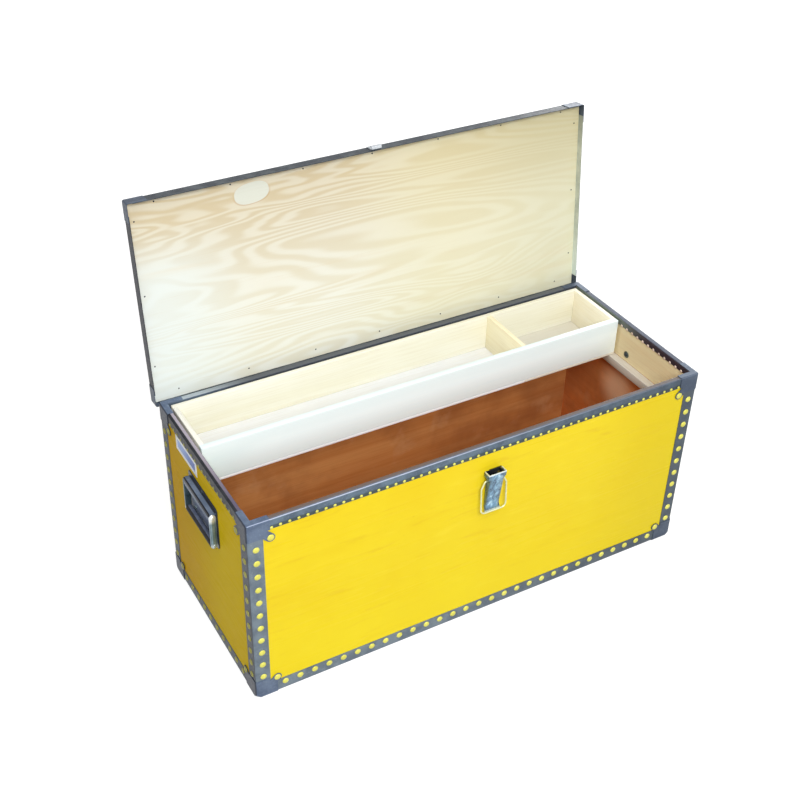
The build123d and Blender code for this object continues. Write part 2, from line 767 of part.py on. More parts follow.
with BuildPart() as latch_lever:
    with BuildSketch(latch_side):
        Polygon(
            (lever_back, latch_top),
            (lever_depth, latch_top),
            (lever_depth_low, lip_bend_height),
            (lip_depth, latch_bottom),
            (lip_depth - latch_wall, latch_bottom),
            (lever_back, lip_bend_height),
            align=None,
        )
    extrude(amount=latch_head, both=True)
    with BuildSketch(latch_front):
        lever_outline(0, 0)
    extrude(amount=2 * lever_depth, mode=Mode.INTERSECT)
    add(lever_hollow, mode=Mode.SUBTRACT)
    with BuildSketch(latch_side):
        with Locations((lever_pin_off, lever_pin_height)):
            Circle(lever_pin_radius + bail_hole_play)
        with Locations((bail_pivot_off, bail_pivot_height)):
            Circle(bail_wire + bail_hole_play)
    extrude(amount=latch_head, both=True, mode=Mode.SUBTRACT)
write(latch_lever, "latch_lever")

with BuildPart() as latch_base:
    with BuildSketch(latch_front):
        with Locations((0, (base_bottom + lever_pin_height) / 2)):
            Rectangle(base_plate_width, lever_pin_height - base_bottom)
        with Locations((0, lever_pin_height)):
            Rectangle(2 * ear_outer, 2 * base_ear_radius)
    extrude(amount=latch_wall)
    for toward in sides.values():
        with BuildSketch(latch_side.offset(toward * (ear_outer - latch_wall / 2))):
            with Locations((lever_pin_off / 2, lever_pin_height)):
                Rectangle(lever_pin_off, 2 * base_ear_radius)
            with Locations((lever_pin_off, lever_pin_height)):
                Circle(base_ear_radius)
                Circle(lever_pin_radius + bail_hole_play, mode=Mode.SUBTRACT)
        extrude(amount=latch_wall / 2, both=True)
write(latch_base, "latch_base")

latch_rivet_seats = (
    Plane(origin=(latch_place, -ply_y - latch_wall, 0), x_dir=(1, 0, 0), z_dir=(0, -1, 0)),
    Plane(origin=(latch_place, -inner_y, 0), x_dir=(-1, 0, 0), z_dir=(0, 1, 0)),
)
with BuildPart() as latch_rivets:
    for seat in latch_rivet_seats:
        with BuildSketch(seat):
            with Locations(*[(0, height) for height in latch_rivet_heights]):
                RegularPolygon(latch_rivet_head_radius, rivet_sides)
        extrude(amount=latch_rivet_head, taper=rivet_taper)
write(latch_rivets, "latch_rivets")

with BuildPart() as latch_lever_pin:
    with BuildSketch(latch_side):
        with Locations((lever_pin_off, lever_pin_height)):
            Circle(lever_pin_radius)
    extrude(amount=latch_head / 2 + bail_hole_play + lever_pin_head, both=True)
    for toward in sides.values():
        with BuildSketch(latch_side.offset(toward * (latch_head / 2 + bail_hole_play))):
            with Locations((lever_pin_off, lever_pin_height)):
                RegularPolygon(lever_pin_head_radius, washer_sides)
        extrude(amount=toward * lever_pin_head)
write(latch_lever_pin, "latch_lever_pin")

bail_plane = (
    latch_front
    * Location((0, bail_pivot_height, bail_pivot_off))
    * Location((0, 0, 0), (-bail_rest_angle, 0, 0))
)
with BuildPart() as latch_bail:
    with BuildLine(bail_plane):
        wire = FilletPolyline(
            (-bail_inside, 0),
            (-bail_neck, 0),
            (-bail_half_width, -bail_shoulder),
            (-bail_half_width, -bail_reach),
            (bail_half_width, -bail_reach),
            (bail_half_width, -bail_shoulder),
            (bail_neck, 0),
            (bail_inside, 0),
            radius=[bail_neck_bend] * 2 + [bail_foot_bend] * 2 + [bail_neck_bend] * 2,
        )
    with BuildSketch(Plane(origin=wire @ 0, z_dir=wire % 0)):
        RegularPolygon(bail_wire, rivet_sides)
    sweep(path=wire)
write(latch_bail, "latch_bail")

keeper_side = on_lid(Plane(origin=(latch_place, -lid_outer_y, 0), x_dir=(0, -1, 0), z_dir=(-1, 0, 0)))
with BuildPart() as keeper:
    with BuildSketch(keeper_side):
        with BuildLine():
            FilletPolyline(
                (0, keeper_ledge + keeper_height),
                (0, keeper_ledge),
                (keeper_throat + 2 * keeper_plate, keeper_ledge),
                (keeper_throat + 2 * keeper_plate, keeper_ledge + keeper_lip),
                radius=keeper_bend,
            )
            offset(amount=keeper_plate, side=Side.LEFT)
        make_face()
    extrude(amount=keeper_width / 2, both=True)
write(keeper, "keeper")

with BuildPart() as keeper_rivets:
    with BuildSketch(keeper_front.offset(keeper_plate)):
        with Locations((-keeper_rivet_place, keeper_rivet_height), (keeper_rivet_place, keeper_rivet_height)):
            RegularPolygon(latch_rivet_head_radius, rivet_sides)
    extrude(amount=latch_rivet_head, taper=rivet_taper)
write(keeper_rivets, "keeper_rivets")

# ---------------------------------------------------------------- chest handles

for side, toward in sides.items():
    outward = Plane(origin=(toward * ply_x, 0, 0), x_dir=(0, toward, 0), z_dir=(toward, 0, 0))
    section = Plane(origin=(toward * ply_x, 0, 0), x_dir=(toward, 0, 0), z_dir=(0, -toward, 0))
    with BuildPart() as plate:
        with BuildSketch(outward):
            with Locations((0, (handle_top + handle_bottom) / 2)):
                RectangleRounded(2 * handle_half_width, handle_top - handle_bottom, handle_corner)
        extrude(amount=handle_plate)
        with BuildSketch(section):
            Polygon(
                (0, hump_top), (hump_depth, hump_top), (hump_depth, hump_front), (0, hump_foot), align=None
            )
        extrude(amount=hump_half_width, both=True)
        with BuildSketch(section):
            Polygon(
                (-handle_plate, hump_top),
                (hump_depth, hump_top),
                (hump_depth, hump_front),
                (0, hump_foot),
                (-handle_plate, hump_foot),
                align=None,
            )
            offset(amount=-handle_plate, kind=Kind.INTERSECTION, mode=Mode.REPLACE)
        extrude(amount=hump_half_width - handle_plate, both=True, mode=Mode.SUBTRACT)
        with BuildSketch(section):
            with Locations((handle_pivot_off, handle_pivot_height)):
                Circle(rod_radius + bail_hole_play)
        extrude(amount=hump_half_width, both=True, mode=Mode.SUBTRACT)
    write(plate, f"handle_plate_{side}")

    arm_inner = hump_half_width + arm_gap
    with BuildPart() as handle_bail:
        with BuildSketch(section):
            with Locations((handle_pivot_off, handle_pivot_height)):
                Circle(rod_radius)
            with Locations((handle_pivot_off, handle_pivot_height - arm_reach)):
                Circle(grip_rod_radius)
        extrude(amount=arm_inner, both=True)
        for toward_y in faces.values():
            with BuildSketch(section.offset(toward_y * arm_inner)):
                with Locations((handle_pivot_off, handle_pivot_height - arm_reach / 2)):
                    SlotCenterToCenter(arm_reach, 2 * arm_radius, rotation=90)
            extrude(amount=toward_y * arm_thickness)
    write(handle_bail, f"handle_bail_{side}")

    with BuildPart() as grip:
        with BuildSketch(section):
            with Locations((handle_pivot_off, handle_pivot_height - arm_reach)):
                Circle(grip_radius)
                Circle(grip_rod_radius + grip_play, mode=Mode.SUBTRACT)
        extrude(amount=arm_inner - joint_gap, both=True)
    write(grip, f"handle_grip_{side}")

with BuildPart() as handle_rivets:
    for toward in sides.values():
        with BuildSketch(Plane((toward * (ply_x + handle_plate), 0, 0), (0, toward, 0), (toward, 0, 0))):
            with Locations((0, through_rivet_height)):
                RegularPolygon(through_rivet_head, rivet_sides)
            for height in (screw_height, screw_low_height):
                with Locations((-screw_place, height), (screw_place, height)):
                    RegularPolygon(screw_head_radius, rivet_sides)
        extrude(amount=screw_head, taper=rivet_taper)
        with BuildSketch(Plane((toward * (inner_x - washer_thickness), 0, 0), (0, -toward, 0), (-toward, 0, 0))):
            with Locations((0, through_rivet_height)):
                RegularPolygon(tail_radius, rivet_sides)
        extrude(amount=tail_height, taper=rivet_taper)
write(handle_rivets, "handle_rivets")

with BuildPart() as handle_washers:
    for toward in sides.values():
        inward = Plane(origin=(toward * inner_x, 0, 0), x_dir=(0, toward, 0), z_dir=(toward, 0, 0))
        with BuildSketch(inward):
            with Locations((0, through_rivet_height)):
                RegularPolygon(washer_radius, washer_sides)
        extrude(amount=-washer_thickness)
write(handle_washers, "handle_washers")
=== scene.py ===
"""Looks of the chuck box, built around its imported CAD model.

Meshes are written in millimetres in the chest's own frame, whose middle is BACK in front of the
part's origin, and at() turns them into Blender's metres. Limits inside materials are in Blender's
metres and frame. Colours are sRGB triples, 0 to 255.
"""

import math

import bmesh
import bpy
from mathutils import Matrix, Vector


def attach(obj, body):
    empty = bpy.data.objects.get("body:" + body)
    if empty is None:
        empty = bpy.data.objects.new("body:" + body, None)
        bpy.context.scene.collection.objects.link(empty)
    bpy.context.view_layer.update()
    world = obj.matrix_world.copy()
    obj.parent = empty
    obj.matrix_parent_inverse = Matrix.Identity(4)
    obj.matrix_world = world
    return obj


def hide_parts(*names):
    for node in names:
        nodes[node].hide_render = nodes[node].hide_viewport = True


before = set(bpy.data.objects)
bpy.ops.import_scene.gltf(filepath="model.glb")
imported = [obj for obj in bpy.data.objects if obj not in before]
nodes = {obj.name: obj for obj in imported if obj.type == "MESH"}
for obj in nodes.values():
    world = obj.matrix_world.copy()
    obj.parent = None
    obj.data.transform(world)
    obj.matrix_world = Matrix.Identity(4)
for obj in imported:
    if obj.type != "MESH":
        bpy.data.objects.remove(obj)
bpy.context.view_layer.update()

BACK = 27.6
HALF_X, HALF_Y = 457.0, 189.0  # outside of the steel
PLY_X, PLY_Y = 456.0, 188.0  # outside of the plywood
INNER_X, INNER_Y = 446.5, 178.5  # inside of the plywood
SHEET = 1.0  # thickness of the rim's steel
LATCH_X = 6.0
PIVOT_Z, GRIP_Z, BAIL_OUT = 320.5, 258.5, 8.2  # handles: their height, and how far out their bails hang
LABEL_Y, LABEL_Z = 70.0, 361.2
LID_ANGLE = math.radians(95.9)
PIN = (193.8, 382.0)  # y and z of the hinge pins
LID_OUT = Vector((0, math.sin(LID_ANGLE), math.cos(LID_ANGLE)))  # out of the open lid's back
LID_UP = Vector((0, -math.cos(LID_ANGLE), math.sin(LID_ANGLE)))  # from the hinges to its front edge

# In Blender's metres, for the materials.
RIM_TOP = 0.3976  # just under the top face of the rim channels
END_SHADE_TOP = 0.317  # the end walls show bare wood above this; below it their red-brown is painted shade
BINDING_FACE = 0.0265  # out from the hinge pins, just under the outside of the lid's binding
PAINT_FACE = 0.0268  # the same for the painted face of the lid's panel
SHARP = math.radians(35)  # edges over this stay sharp


def at(x, y, z):
    return Vector((x, y - BACK, z)) / 1000


def on_lid(x, up, out):
    """A place on the open lid: up from the hinge pins, and out from them."""
    return at(x, *PIN) + (up * LID_UP + out * LID_OUT) / 1000


def linear(red, green, blue):
    """An sRGB colour, 0 to 255, as the linear colour that a shader takes."""
    values = [v / 255 for v in (red, green, blue)]
    return (*[v / 12.92 if v <= 0.04045 else ((v + 0.055) / 1.055) ** 2.4 for v in values], 1.0)


# ------------------------------------------------------------------------------ shader building


class Shader:
    """A material with short calls for its nodes."""

    def __init__(self, name, **constants):
        self.material = bpy.data.materials.new(name)
        self.material.use_nodes = True
        self.tree = self.material.node_tree
        self.surface = self.tree.nodes["Principled BSDF"]
        for key, value in constants.items():
            self.surface.inputs[key.replace("_", " ")].default_value = value
        self.position = self.node("ShaderNodeTexCoord").outputs["Object"]

    def node(self, kind, **settings):
        made = self.tree.nodes.new(kind)
        for key, value in settings.items():
            setattr(made, key, value)
        return made

    def feed(self, socket, value):
        if hasattr(value, "is_output"):
            self.tree.links.new(value, socket)
        else:
            socket.default_value = value

    def math(self, operation, *values):
        made = self.node("ShaderNodeMath", operation=operation)
        for socket, value in zip(made.inputs, values):
            self.feed(socket, value)
        return made.outputs[0]

    def times(self, first, second):
        return self.math("MULTIPLY", first, second)

    def most(self, first, second):
        return self.math("MAXIMUM", first, second)

    def off(self, value, middle):
        """How far value is from middle, on either side."""
        return self.math("ABSOLUTE", self.math("SUBTRACT", value, middle))

    def axis(self, index):
        made = self.node("ShaderNodeSeparateXYZ")
        self.feed(made.inputs[0], self.position)
        return made.outputs[index]

    def scaled(self, scale, rotation=(0, 0, 0), place=(0, 0, 0)):
        made = self.node("ShaderNodeMapping")
        self.feed(made.inputs["Vector"], self.position)
        made.inputs["Location"].default_value = place
        made.inputs["Rotation"].default_value = rotation
        made.inputs["Scale"].default_value = scale
        return made.outputs[0]

    def noise(self, coordinates, scale, detail=3.0, roughness=0.55, distortion=0.0):
        made = self.node("ShaderNodeTexNoise")
        self.feed(made.inputs["Vector"], coordinates)
        made.inputs["Scale"].default_value = scale
        made.inputs["Detail"].default_value = detail
        made.inputs["Roughness"].default_value = roughness
        made.inputs["Distortion"].default_value = distortion
        return made.outputs[0]

    def ramp(self, value, low, high, start=0.0, stop=1.0):
        """value, mapped from low..high to start..stop and held there."""
        made = self.node("ShaderNodeMapRange", interpolation_type="SMOOTHSTEP")
        self.feed(made.inputs["Value"], value)
        for key, number in (("From Min", low), ("From Max", high), ("To Min", start), ("To Max", stop)):
            made.inputs[key].default_value = number
        return made.outputs[0]

    def mix(self, share, first, second):
        """Two colours mixed. Each is a socket, an sRGB triple, or four linear numbers."""
        made = self.node("ShaderNodeMix", data_type="RGBA")
        self.feed(made.inputs["Factor"], share)
        for key, colour in (("A", first), ("B", second)):
            triple = isinstance(colour, tuple) and len(colour) == 3
            self.feed(made.inputs[key], linear(*colour) if triple else colour)
        return made.outputs["Result"]

    def above(self, value, limit, soft=0.0002):
        """1 where value is over limit, 0 under it."""
        return self.ramp(value, limit - soft, limit + soft)

    def colour(self, value):
        self.feed(self.surface.inputs["Base Color"], value)

    def roughness(self, value):
        self.feed(self.surface.inputs["Roughness"], value)

    def bump(self, height, distance, strength=1.0):
        made = self.node("ShaderNodeBump")
        made.inputs["Strength"].default_value = strength
        made.inputs["Distance"].default_value = distance
        self.feed(made.inputs["Height"], height)
        if self.surface.inputs["Normal"].is_linked:
            self.feed(made.inputs["Normal"], self.surface.inputs["Normal"].links[0].from_socket)
        self.feed(self.surface.inputs["Normal"], made.outputs[0])


def dress(material, *names):
    """Give CAD nodes a material, in every slot."""
    for name in names:
        slots = nodes[name].data.materials
        if not slots:
            slots.append(material)
        for index in range(len(slots)):
            slots[index] = material


# ------------------------------------------------------------------------------ materials


def grain(shader, along, fine=1.0, seed=0.0):
    """Two layers of wood grain running along an axis: broad figure and fine fibres, each 0 to 1."""
    broad_scale = [26.0 * fine] * 3
    fibre_scale = [420.0 * fine] * 3
    broad_scale[along] = 1.6
    fibre_scale[along] = 9.0
    broad = shader.noise(shader.scaled(broad_scale, place=(seed, seed, seed)), 1.0, 4.0, 0.6, 0.6)
    fibres = shader.noise(shader.scaled(fibre_scale, place=(seed, seed, seed)), 1.0, 3.0, 0.6)
    return broad, fibres


def blotches(shader, scale, seed):
    return shader.noise(shader.scaled((scale, scale, scale), place=(seed, 0.3, 0.1)), 1.0, 4.0, 0.55)


def paint(shader, along, seed):
    """Yellow paint, with the plywood's grain and small scuffs faintly in it."""
    broad, fibres = grain(shader, along, 1.0, seed)
    yellow = shader.mix(shader.ramp(blotches(shader, 5.0, seed), 0.35, 0.7), (238, 212, 34), (235, 205, 28))
    yellow = shader.mix(shader.ramp(broad, 0.55, 0.80, 0.0, 0.22), yellow, (224, 180, 18))
    yellow = shader.mix(shader.ramp(fibres, 0.62, 0.78, 0.0, 0.12), yellow, (204, 152, 22))
    scuffs = shader.ramp(blotches(shader, 90.0, seed + 4.0), 0.68, 0.76, 0.0, 0.30)
    return shader.mix(scuffs, yellow, (206, 164, 30)), broad, fibres


def stained(shader, broad, fibres, light, middle, dark, streak=0.65):
    wood = shader.mix(shader.ramp(broad, 0.30, 0.70), light, middle)
    return shader.mix(shader.ramp(fibres, 0.45, 0.78, 0.0, streak), wood, dark)


def front_paint(shader, colour):
    """The front is streaked and lighter low down, with painted shade to the right and a painted shadow
    behind the latch's mouth.
    """
    streaks = shader.noise(
        shader.scaled((9.0, 1.0, 60.0), rotation=(0, 0.10, 0), place=(0.2, 0, 0.5)), 1.0, 4.0, 0.6, 0.4
    )
    x, z = shader.axis(0), shader.axis(2)
    colour = shader.mix(shader.ramp(streaks, 0.56, 0.74, 0.0, 0.30), colour, (214, 168, 24))
    colour = shader.mix(shader.ramp(streaks, 0.44, 0.28, 0.0, 0.30), colour, (248, 226, 60))
    colour = shader.mix(shader.ramp(z, 0.24, 0.05, 0.0, 0.45), colour, (246, 224, 24))
    # Painted shade, darker towards the right.
    colour = shader.mix(shader.ramp(x, 0.16, 0.44, 0.0, 0.75), colour, (224, 200, 16))
    # A painted shadow on the paint behind the latch's mouth.
    latch_shadow = shader.times(shader.ramp(shader.off(x, 0.012), 0.0135, 0.0120), shader.above(z, 0.326))
    latch_shadow = shader.times(latch_shadow, shader.ramp(z, 0.3425, 0.3410))
    return shader.mix(shader.times(latch_shadow, 0.9), colour, (46, 40, 24))


RED = ((219, 157, 95), (201, 132, 73), (171, 97, 49))
# The right end wall's inside below the tray is painted in these red-browns as shade and red bounce light.
SHADED_END_RED = ((232, 152, 90), (220, 132, 70), (192, 104, 50))
TAN = ((236, 222, 180), (231, 211, 165), (210, 182, 134))

LIT_PATCH = (INNER_X, 12, 240)  # a painted patch of light on the well's right wall

# Panels: name, axis of the grain, axis across, inside face, towards the inside, seed.
for name, along, across, inside, sign, seed in (
    ("front_panel", 0, 1, -INNER_Y - BACK, 1, 0.0),
    ("back_panel", 0, 1, INNER_Y - BACK, -1, 3.0),
    ("left_end_panel", 1, 0, -INNER_X, 1, 5.0),
    ("right_end_panel", 1, 0, INNER_X, -1, 9.0),
    ("floor_panel", 0, 2, 11.7, 1, 13.0),
):
    end = along == 1
    shader = Shader(name + "_finish", IOR=1.03 if end else 1.22)
    outside, broad, fibres = paint(shader, along, seed)
    if end:
        # The end panels' paint is painted darker as shade, and darker still towards the back.
        outside = shader.mix(0.42, outside, (214, 172, 26))
        outside = shader.mix(shader.ramp(shader.axis(1), -0.10, 0.13, 0.0, 0.5), outside, (206, 146, 34))
    if name == "front_panel":
        outside = front_paint(shader, outside)
    if name == "floor_panel":
        outside = stained(shader, broad, fibres, *TAN)
    wood = stained(shader, broad, fibres, *(SHADED_END_RED if name == "right_end_panel" else RED), streak=0.25)
    cloud = shader.ramp(blotches(shader, 7.0, seed + 2.0), 0.40, 0.66, 0.0, 0.55)
    wood = shader.mix(cloud, wood, (150, 92, 56))
    pale = shader.ramp(blotches(shader, 16.0, seed + 7.0), 0.56, 0.74, 0.0, 0.30)
    wood = shader.mix(pale, wood, (226, 176, 128))
    if name == "right_end_panel":
        off = shader.node("ShaderNodeVectorMath", operation="DISTANCE")
        shader.feed(off.inputs[0], shader.position)
        off.inputs[1].default_value = at(*LIT_PATCH)
        # A painted patch of light, round the place given above.
        wood = shader.mix(shader.ramp(off.outputs["Value"], 0.070, 0.012, 0.0, 0.62), wood, (255, 222, 184))
    # Above this height the end walls show bare wood; below it their red-brown is painted shade and red
    # bounce light.
    if end:
        bare = stained(shader, broad, fibres, *TAN, streak=0.4)
        wood = shader.mix(shader.above(shader.axis(2), END_SHADE_TOP), wood, bare)
    inner = shader.above(shader.times(shader.axis(across), sign), (inside * sign - 0.3) / 1000)
    shader.colour(shader.mix(inner, outside, wood))
    gloss = shader.ramp(broad, 0.3, 0.8, 0.24, 0.34)
    shader.roughness(shader.math("ADD", gloss, shader.times(inner, 0.26)))
    shader.bump(fibres, 0.00010, 0.2)
    shader.bump(broad, 0.0010, 0.15)
    dress(shader.material, name)


def steel(name, plain, dark, light, metallic=0.2, rough=0.42, speck=220.0, ior=1.25, zones=()):
    """Plated sheet steel, clouded and speckled. Each zone takes shader and colour and shades a part."""
    shader = Shader(name, Metallic=metallic, IOR=ior)
    cloud = shader.noise(shader.scaled((38.0, 38.0, 38.0)), 1.0, 5.0, 0.6)
    specks = shader.noise(shader.scaled((speck, speck, speck)), 1.0, 3.0, 0.65)
    colour = shader.mix(shader.ramp(cloud, 0.35, 0.65), dark, plain)
    colour = shader.mix(shader.ramp(specks, 0.54, 0.80, 0.0, 0.45), colour, light)
    for zone in zones:
        colour = zone(shader, colour)
    shader.colour(colour)
    shader.roughness(shader.ramp(specks, 0.3, 0.7, rough - 0.06, rough + 0.08))
    shader.bump(specks, 0.00015, 0.2)
    return shader.material


def out_from_middle(shader):
    """How far a place is from the chest's middle, forwards or back."""
    return shader.math("ABSOLUTE", shader.math("ADD", shader.axis(1), BACK / 1000))


def out_of_end(shader):
    """How far a place is from the chest's middle, to the left or right."""
    return shader.math("ABSOLUTE", shader.axis(0))


def along_lid(shader, direction):
    """How far a place is from the hinge pins in a direction of the open lid."""
    away = shader.node("ShaderNodeVectorMath", operation="SUBTRACT")
    shader.feed(away.inputs[0], shader.position)
    away.inputs[1].default_value = at(0, *PIN)
    product = shader.node("ShaderNodeVectorMath", operation="DOT_PRODUCT")
    shader.feed(product.inputs[0], away.outputs[0])
    product.inputs[1].default_value = direction
    return product.outputs["Value"]


def on_rim(shader):
    return shader.above(shader.axis(2), RIM_TOP, 0.0003)


def shaded_right(share):
    """Painted shade, darker towards the right end."""
    return lambda shader, colour: shader.mix(
        shader.ramp(shader.axis(0), -0.20, 0.46, 0.0, share), colour, (50, 56, 62)
    )


def shaded_left(shade_colour, share, limit):
    """Painted shade on the outside of the left end, further out than limit."""
    def zone(shader, colour):
        side = shader.above(shader.times(shader.axis(0), -1.0), limit, 0.0003)
        return shader.mix(shader.times(side, share), colour, shade_colour)
    return zone


# Painted light and shade above height: the colour goes towards top, by share. On the rims it stands for
# reflections on their top faces.
def top_light_and_shade(top, height=RIM_TOP, share=0.85):
    return lambda shader, colour: shader.mix(
        shader.times(shader.above(shader.axis(2), height, 0.0003), share), colour, top
    )


def highlit_front(bend, share, height=0.3966):
    """A painted highlight along the front's top bend, fading towards the right."""
    def zone(shader, colour):
        front = shader.above(out_from_middle(shader), bend, 0.0004)
        line = shader.times(front, shader.above(shader.axis(2), height, 0.0006))
        fade = shader.ramp(shader.axis(0), -0.25, 0.42, share, share * 0.2)
        return shader.mix(shader.times(line, fade), colour, (196, 204, 226))
    return zone


def brown_shade_on_top(shader, colour):
    """Painted shade, brown from the red well, along the inner half of the channel's top."""
    inner = shader.times(shader.ramp(out_from_middle(shader), 0.1862, 0.1838), on_rim(shader))
    return shader.mix(shader.times(inner, 0.9), colour, (112, 96, 86))


def shaded_foot(shader, colour):
    """Painted shade along the channel's lower edge, round the rivets."""
    return shader.mix(shader.ramp(shader.axis(2), 0.3870, 0.3835, 0.0, 0.7), colour, (58, 68, 54))


def left_rim_light(shader, colour):
    """Painted light on the inner half of its top only, less towards the front."""
    inner = shader.times(shader.ramp(out_of_end(shader), 0.4528, 0.4512), on_rim(shader))
    pale = shader.mix(shader.ramp(shader.axis(1), 0.02, -0.16), (176, 168, 180), (104, 96, 118))
    return shader.mix(shader.times(inner, 0.9), colour, pale)


def shaded_right_rim(shader, colour):
    """Its inner flange is painted shade, grey-green at the back and brown from the red well at the front.
    """
    inner = shader.ramp(out_of_end(shader), 0.4482, 0.4474)
    brown = shader.mix(shader.ramp(shader.axis(1), 0.03, -0.08), (138, 150, 138), (66, 50, 58))
    return shader.mix(inner, colour, brown)


def shaded_back_rim(shader, colour):
    """Painted shade over all but its left end."""
    return shader.mix(shader.ramp(shader.axis(0), -0.41, -0.27, 0.0, 0.82), colour, (62, 64, 70))


def lid_edge_light_and_shade(shader, colour):
    """Painted shade towards the lid's front corner, and painted light towards its hinges."""
    z = shader.axis(2)
    colour = shader.mix(shader.ramp(z, 0.66, 0.77, 0.0, 0.7), colour, (112, 118, 106))
    foot = shader.times(shader.above(shader.axis(0), 0.440), shader.ramp(z, 0.56, 0.40, 0.0, 0.8))
    return shader.mix(foot, colour, (226, 240, 238))


def outside_of_lid(limit, plain=(76, 84, 94)):
    """Plain on the lid's outside: behind its top, and further out than limit at its ends."""
    def zone(shader, colour):
        behind = shader.above(along_lid(shader, LID_OUT), BINDING_FACE)
        return shader.mix(shader.most(behind, shader.above(out_of_end(shader), limit)), colour, plain)
    return zone


# Plain, dark and light.
BLUE = ((120, 133, 144), (98, 110, 123), (164, 174, 182))
SLATE = ((92, 106, 122), (74, 86, 102), (134, 148, 162))
# The left rim's colours are painted shade, as it faces away from the light.
LEFT_RIM_SHADE = ((46, 48, 54), (32, 34, 40), (78, 80, 88))
LID = ((76, 83, 88), (50, 56, 63), (112, 119, 122))
# Painted shade on the steel of the left end's outside.
SHADED_SIDE = shaded_left((42, 45, 54), 0.84, 0.4564)
angle_steel = steel("binding_steel", *BLUE, zones=(shaded_right(0.62), SHADED_SIDE))
bracket_steel = steel(
    "bracket_steel", (104, 119, 142), (84, 98, 122), (152, 166, 184), rough=0.38,
    zones=(shaded_right(0.5), highlit_front(0.1888, 0.9, 0.3982), SHADED_SIDE),
)
rims = {
    "rim_channel_front": steel(
        "rim_steel_front", (104, 122, 138), (84, 98, 114), (146, 160, 172),
        zones=(shaded_foot, top_light_and_shade((108, 110, 124)), brown_shade_on_top, highlit_front(0.1879, 0.7), shaded_right(0.5)),
    ),
    "rim_channel_left": steel("rim_steel_left_shaded", *LEFT_RIM_SHADE, zones=(left_rim_light,)),
    "rim_channel_back": steel("rim_steel_back", *SLATE, zones=(top_light_and_shade((176, 186, 192)), shaded_back_rim)),
    "rim_channel_right": steel(
        "rim_steel_right", *SLATE, zones=(shaded_right_rim, top_light_and_shade((64, 70, 90)), shaded_right(0.3))
    ),
}
lid_edges = {
    "lid_edge_front": steel("lid_steel_front", *LID),
    "lid_edge_back": steel("lid_steel_back", *LID),
    # The lid's left edge is painted dark as shade, and its right edge pale as light; their outsides stay
    # plain.
    "lid_edge_left": steel(
        "lid_steel_left_shaded", (44, 46, 56), (30, 32, 40), (78, 80, 90), zones=(outside_of_lid(0.6),)
    ),
    "lid_edge_right": steel(
        "lid_steel_right_lit", (204, 210, 198), (180, 188, 178), (226, 230, 222),
        zones=(lid_edge_light_and_shade, outside_of_lid(0.4593)),
    ),
}
lid_corner_steel = steel(
    "lid_corner_steel", (84, 96, 112), (62, 72, 88), (130, 142, 156), rough=0.38,
    zones=(outside_of_lid(0.4603, (74, 85, 101)),),
)
bright_zinc = steel("bright_zinc", (208, 212, 216), (182, 188, 194), (232, 234, 236), 0.80, 0.28, 90.0)
wire_zinc = steel("wire_zinc", (226, 228, 188), (212, 214, 172), (236, 238, 214), 0.35, 0.30, 60.0)
washer_zinc = steel("washer_zinc", (112, 124, 112), (86, 98, 88), (150, 160, 148), 0.5, 0.36, 90.0)
# The handle's rivet heads high on the plate are painted dark as shade.
screw_zinc = steel(
    "screw_zinc", (136, 150, 154), (112, 126, 132), (168, 180, 184), 0.4, 0.36, 90.0,
    zones=(top_light_and_shade((52, 58, 68), 0.325, 0.9),),
)
# Pale yellow rivet heads, with painted shade on those on the left end.
rivet_plate = steel(
    "rivet_plate", (230, 226, 112), (214, 208, 90), (240, 240, 166), 0.10, 0.34, 300.0,
    zones=(shaded_left((104, 102, 62), 0.72, 0.4569),),
)
# Rim rivet tails inside: the pale rivet colour painted pinkish tan, as lit by the red well's bounce light.
tail_in_red_bounce = steel("tail_in_red_bounce", (232, 212, 196), (206, 184, 166), (244, 230, 216), 0.10, 0.40, 300.0)

dressed = {**rims, **lid_edges, "lid_corners": lid_corner_steel}
for name in nodes:
    if name.startswith(("corner_angle", "bottom_angle")):
        dress(angle_steel, name)
    elif name.startswith(("top_bracket", "bottom_cap")):
        dress(bracket_steel, name)
    elif name in dressed:
        dress(dressed[name], name)


def latch_zinc(name, metallic, rough, plain, dark, light):
    """Blue zinc plate: mottled, palest down the middle with painted shade to the sides, and painted
    highlights at the mouth and the lip.
    """
    shader = Shader(name, Metallic=metallic)
    patches = shader.noise(shader.scaled((110.0, 110.0, 75.0), place=(0.4, 0, 0.2)), 1.0, 3.0, 0.6, 0.5)
    colour = shader.mix(shader.ramp(patches, 0.40, 0.58), dark, plain)
    colour = shader.mix(shader.ramp(patches, 0.56, 0.68), colour, light)
    aside = shader.off(shader.axis(0), LATCH_X / 1000)
    colour = shader.mix(shader.ramp(aside, 0.006, 0.0145, 0.0, 0.55), colour, (74, 92, 100))
    height = shader.axis(2)
    mouth_and_lip_highlight = shader.most(shader.ramp(height, 0.3405, 0.3428), shader.ramp(height, 0.2600, 0.2560))
    colour = shader.mix(shader.times(mouth_and_lip_highlight, 0.85), colour, (230, 240, 244))
    shader.colour(colour)
    shader.roughness(shader.ramp(patches, 0.3, 0.7, rough - 0.05, rough + 0.08))
    shader.bump(patches, 0.0003, 0.3)
    return shader.material


blue_zinc = latch_zinc("blue_zinc", 0.35, 0.30, (122, 164, 194), (84, 112, 138), (184, 216, 234))
# The latch's base is painted near black, as the shade inside the lever's mouth.
shaded_base_zinc = steel("latch_base_shaded", (44, 50, 56), (30, 34, 40), (78, 86, 94), 0.5, 0.45, 90.0)

